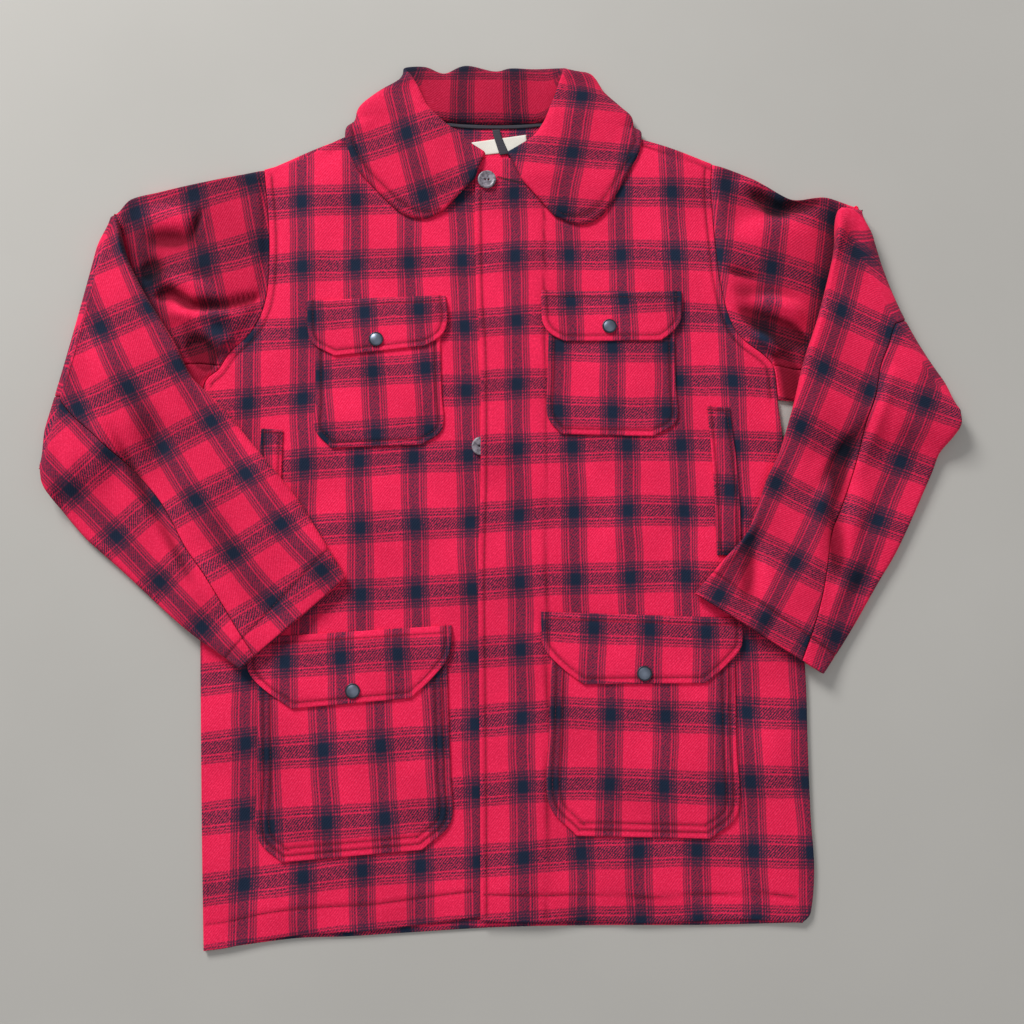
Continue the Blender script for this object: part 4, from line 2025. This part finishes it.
    def build(self, tailor: Tailor) -> None:
        """Builds the collar and the stitching along its edge.

        Args:
            tailor: places and reports the pieces.
        """
        place = np.linspace(0, 1, self.sections)
        middle = self.section_curve(self.controls(even_curve(COLLAR_ROWS)(place)))
        half = COLLAR_CLOTH / 2
        face, back = offset_grid(middle, half), offset_grid(middle, -half)
        face[..., 2], back[..., 2] = np.maximum(face[..., 2], 0), np.maximum(back[..., 2], 0)
        line = self.edge_line(face)
        stand = 1 - smoothstep(np.arange(self.steps), 8, 19)
        inside = self.leaf_shade + self.stand_shade * stand
        piece = ClothPiece("collar", face, back, self.chart(middle, place), lines=[line],
                           hollow=np.broadcast_to(inside, face.shape[:2]))
        tailor.sew(piece)
        shown = line[line[:, 2] > 7]
        split = np.flatnonzero(np.linalg.norm(np.diff(shown, axis=0), axis=1) > 6)
        tailor.stitch("collar_stitches", [
            part for part in np.split(shown, split + 1) if len(part) > 3])

    def edge_line(self, face: Array) -> Array:
        """Returns the stitch line inside the fall's edge and its front ends.

        Args:
            face: the grid of the outer side.

        Returns:
            The line's points.
        """
        steps = np.linalg.norm(np.diff(face, axis=1), axis=2)
        from_edge = np.cumsum(steps[:, ::-1], axis=1)
        column = face.shape[1] - 2 - np.argmax(from_edge > self.edge_stitch, axis=1)
        found = face[np.arange(len(face)), column]
        return resampled(found[4:-4], LINE_STEP)


@dataclass
class NeckTrims:
    """Binding over the neck seam, the bare label and the hanger loop."""

    tape_thickness: float = 1.4
    label_thickness: float = 0.5
    loop_thickness: float = 0.9

    def on_back(self, x: Array, y: Array) -> Array:
        """Returns the height just above the back's inside."""
        return back_underside(x, y) + CLOTH + 0.3

    def build(self, tailor: Tailor) -> None:
        """Builds the three trims.

        Args:
            tailor: places and reports the pieces.
        """
        over = lambda x, y: self.on_back(x, y) + self.label_thickness + 0.3
        plain = CheckChart(0, 1, (0, 0))
        trims = [
            (LevelPiece("neck_tape", (
                (-58, 419.6, -56.5, 415.4), (-44, 418, -43.5, 413.8), (-25, 417, -25, 412.7),
                (-7, 416.6, -7, 412.3), (12, 416.9, 12, 412.6), (29, 417.8, 28.6, 413.6),
                (47, 419.2, 45.8, 415)), plain), self.on_back, self.tape_thickness, Slot.BINDING,
                tailor.finishes.binding, (80, 7)),
            (LevelPiece("label", (
                (-31, 397.3, 27, 406), (-29.8, 389.5, 28, 397), (-28.5, 382, 28.8, 388.5)), plain),
                self.on_back, self.label_thickness, Slot.LABEL, tailor.finishes.label, (16, 40)),
            (LevelPiece("hanger_loop", (
                (-9.2, 411, -1, 411.6), (-7, 402, 1.2, 403), (-4, 392, 5, 393.3),
                (-1, 382.5, 9, 384)), plain), over, self.loop_thickness, Slot.BINDING,
                tailor.finishes.binding, (30, 10))]
        for part, underside, thickness, slot, finish, (rows, columns) in trims:
            v, u = np.meshgrid(np.linspace(0, 1, rows), np.linspace(0, 1, columns), indexing="ij")
            plan = part.plan(u, v)
            under = np.dstack([plan, underside(plan[..., 0], plan[..., 1])])
            cloth = ClothPiece(part.name, under + np.array([0, 0, thickness]), under,
                               plain.on(plan), rim=thickness * 0.6)
            tailor.sew(cloth, slot=slot, finish=finish)


@dataclass
class Fastenings:
    """Two sewn buttons and four snap caps."""

    sides: int = 48
    hole_radius: float = 1.0
    hole_reach: float = 1.7
    seat_reach: float = 3.0
    seat_lift: float = 0.5
    buttonhole: tuple[tuple[float, float], ...] = ((-2.8, 355.5), (21.5, 349.4))

    def turned(self, name: str, profile: Sequence[tuple[float, float]],
               material: Material) -> Object:
        """Turns a profile of radius and height about its axis.

        Args:
            name: the piece's name.
            profile: rows from the middle of the underside round to the middle of the face.
            material: its finish.

        Returns:
            The object, with its radius in the UV map "turn".
        """
        angle = np.linspace(0, 2 * math.pi, self.sides, endpoint=False)
        rings = [np.column_stack([r * np.cos(angle), r * np.sin(angle), np.full(self.sides, z)])
                 for r, z in profile[1:-1]]
        points = np.vstack([[[0, 0, profile[0][1]]], *rings, [[0, 0, profile[-1][1]]]])
        faces, n = [], self.sides
        for j in range(n):
            k = (j + 1) % n
            faces.append((0, 1 + k, 1 + j))
            for i in range(len(rings) - 1):
                a = 1 + i * n
                faces.append((a + j, a + k, a + n + k, a + n + j))
            last = 1 + (len(rings) - 1) * n
            faces.append((last + j, last + k, len(points) - 1))
        mesh = bpy.data.meshes.new(name)
        mesh.from_pydata((points * MM).tolist(), [], faces)
        mesh.materials.append(material)
        mesh.polygons.foreach_set("use_smooth", [True] * len(mesh.polygons))
        layer = mesh.uv_layers.new(name="turn")
        for loop in mesh.loops:
            p = points[loop.vertex_index]
            layer.data[loop.index].uv = (math.hypot(p[0], p[1]) * MM, p[2] * MM)
        return linked(name, mesh)

    def seat(self, piece: Object, surface: Height, x: float, y: float) -> None:
        """Sets a small hard piece flat on a cloth surface, its place in its mesh.

        Args:
            piece: the piece, about the origin.
            surface: the cloth's height.
            x: its place across.
            y: its place along.
        """
        r = self.seat_reach
        spots = np.array([[x - r, y], [x + r, y], [x, y - r], [x, y + r], [x, y]], float)
        z = surface(spots[:, 0], spots[:, 1])
        normal = Vector((z[0] - z[1], z[2] - z[3], 2 * r)).normalized()
        turn = Vector((0, 0, 1)).rotation_difference(normal).to_matrix().to_4x4()
        turn.translation = (Vector((x, y, float(z[4]))) + normal * self.seat_lift) * MM
        piece.data.transform(turn)

    def button(self, name: str, finishes: Finishes) -> Object:
        """Turns a dished button and cuts its two sewing holes.

        Args:
            name: the object's name.
            finishes: the jacket's finishes.

        Returns:
            The button.
        """
        r, h = BUTTON_DIAMETER / 2, BUTTON_THICKNESS
        profile = [(0, 0), (r * 0.7, 0), (r * 0.86, h * 0.1), (r * 0.95, h * 0.32), (r, h * 0.58),
                   (r * 0.985, h * 0.78), (r * 0.93, h * 0.94), (r * 0.85, h), (r * 0.77, h * 0.95),
                   (r * 0.7, h * 0.85), (r * 0.62, h * 0.79), (r * 0.4, h * 0.7), (0, h * 0.66)]
        disc = self.turned(name, profile, finishes.button)
        hole = [(0, -2), (self.hole_radius, -2), (self.hole_radius, 6), (0, 6)]
        for side in (-1, 1):
            bore = self.turned(name + "_bore", hole, finishes.button)
            bore.data.transform(Matrix.Translation(Vector((side * self.hole_reach, 0, 0)) * MM))
            cut = disc.modifiers.new("hole", "BOOLEAN")
            cut.operation, cut.object, cut.solver = "DIFFERENCE", bore, "EXACT"
            ready = disc.evaluated_get(bpy.context.evaluated_depsgraph_get())
            mesh = bpy.data.meshes.new_from_object(ready)
            disc.modifiers.remove(cut)
            disc.data = mesh
            bpy.data.objects.remove(bore)
        return disc

    def build(self, tailor: Tailor) -> None:
        """Builds the buttons and caps and seats them.

        Args:
            tailor: places and reports the pieces.
        """
        for name, top, (x, y) in (
                ("top_button", left_top, TOP_BUTTON), ("second_button", right_top, SECOND_BUTTON)):
            disc = self.button(name + "_disc", tailor.finishes)
            self.seat(disc, top, x, y)
            tailor.place(disc, Slot.BUTTON, [name])
        slit = np.array(self.buttonhole)
        tailor.stitch(
            "buttonhole_stitches",
            [laid_line(slit + [0, side], left_top) for side in (-0.8, 0, 0.8)],
            dark=True, length=1.6, gap=0.2, thread=0.75, sink=-0.12)
        r = SNAP_DIAMETER / 2
        cap = [(0, 0), (r * 0.93, 0), (r * 0.985, 0.2), (r, 0.55), (r, 0.95), (r * 0.975, 1.3),
               (r * 0.92, 1.5), (r * 0.86, 1.42), (r * 0.81, 1.28), (r * 0.76, 1.4),
               (r * 0.62, 1.75), (r * 0.42, 2.1), (r * 0.2, 2.32), (0, SNAP_HEIGHT)]
        spots = {"right_chest": (-128.4, 178.7), "left_chest": (112.9, 192.6),
                 "right_hip": (-145.2, -180), "left_hip": (142.9, -162.9)}
        for flap in FLAPS:
            place = flap.name.replace("_flap", "")
            piece = self.turned(place + "_snap_cap", cap, tailor.finishes.snap)
            over = lambda x, y, flap=flap: flap_underside(flap, x, y) + CLOTH
            self.seat(piece, over, *spots[place])
            tailor.place(piece, Slot.SNAP, [place + "_snap"])


@dataclass
class Studio:
    """Plain floor, soft light and the camera at the photograph's angle."""

    tilt: float = 8.2
    lens: float = 38.6
    place: tuple[float, float, float] = (0.012, -0.1597, 1.1086)
    floor_reach: float = 3000.0
    floor_drop: float = 0.4
    sky: float = 0.37

    def build(self) -> None:
        """Sets the stage."""
        r, z = self.floor_reach, -self.floor_drop
        floor = mesh_object("floor", np.array([[-r, -r, z], [r, -r, z], [r, r, z], [-r, r, z]]),
                            np.array([[0, 1, 2, 3]]), StudioFloor().material())
        for name, spot, size, power in (
                ("key", (-1.7, 2.6, 1.9), 1.2, 134), ("fill", (0.5, -0.6, 2.3), 2.4, 11)):
            data = bpy.data.lights.new(name, "AREA")
            data.size, data.energy = size, power
            lamp = linked(name, data)
            lamp.location = spot
            lamp.rotation_euler = (-Vector(spot)).to_track_quat("-Z", "Y").to_euler()
        world = bpy.data.worlds.new("studio_sky")
        world.use_nodes = True
        world.node_tree.nodes["Background"].inputs[0].default_value = linear("#f2f4f8")
        world.node_tree.nodes["Background"].inputs[1].default_value = self.sky
        bpy.context.scene.world = world
        data = bpy.data.cameras.new("photo_camera")
        data.lens, data.sensor_width = self.lens, 36.0
        data.clip_start, data.clip_end = 0.05, 20
        camera = linked("photo_camera", data)
        camera.location = self.place
        camera.rotation_euler = (math.radians(self.tilt), 0, 0)
        bpy.context.scene.camera = camera
        bpy.context.scene.view_settings.view_transform = "Standard"


def main() -> None:
    """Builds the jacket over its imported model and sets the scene."""
    logging.basicConfig(level=logging.INFO, format="%(name)s: %(message)s")
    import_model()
    tailor = Tailor(Finishes.made())
    for part in (JacketBody(), PatchPockets(), Sleeve(RIGHT_SLEEVE), Sleeve(LEFT_SLEEVE),
                 Collar(), NeckTrims(), Fastenings()):
        part.build(tailor)
    Studio().build()


if __name__ == "__main__":
    main()
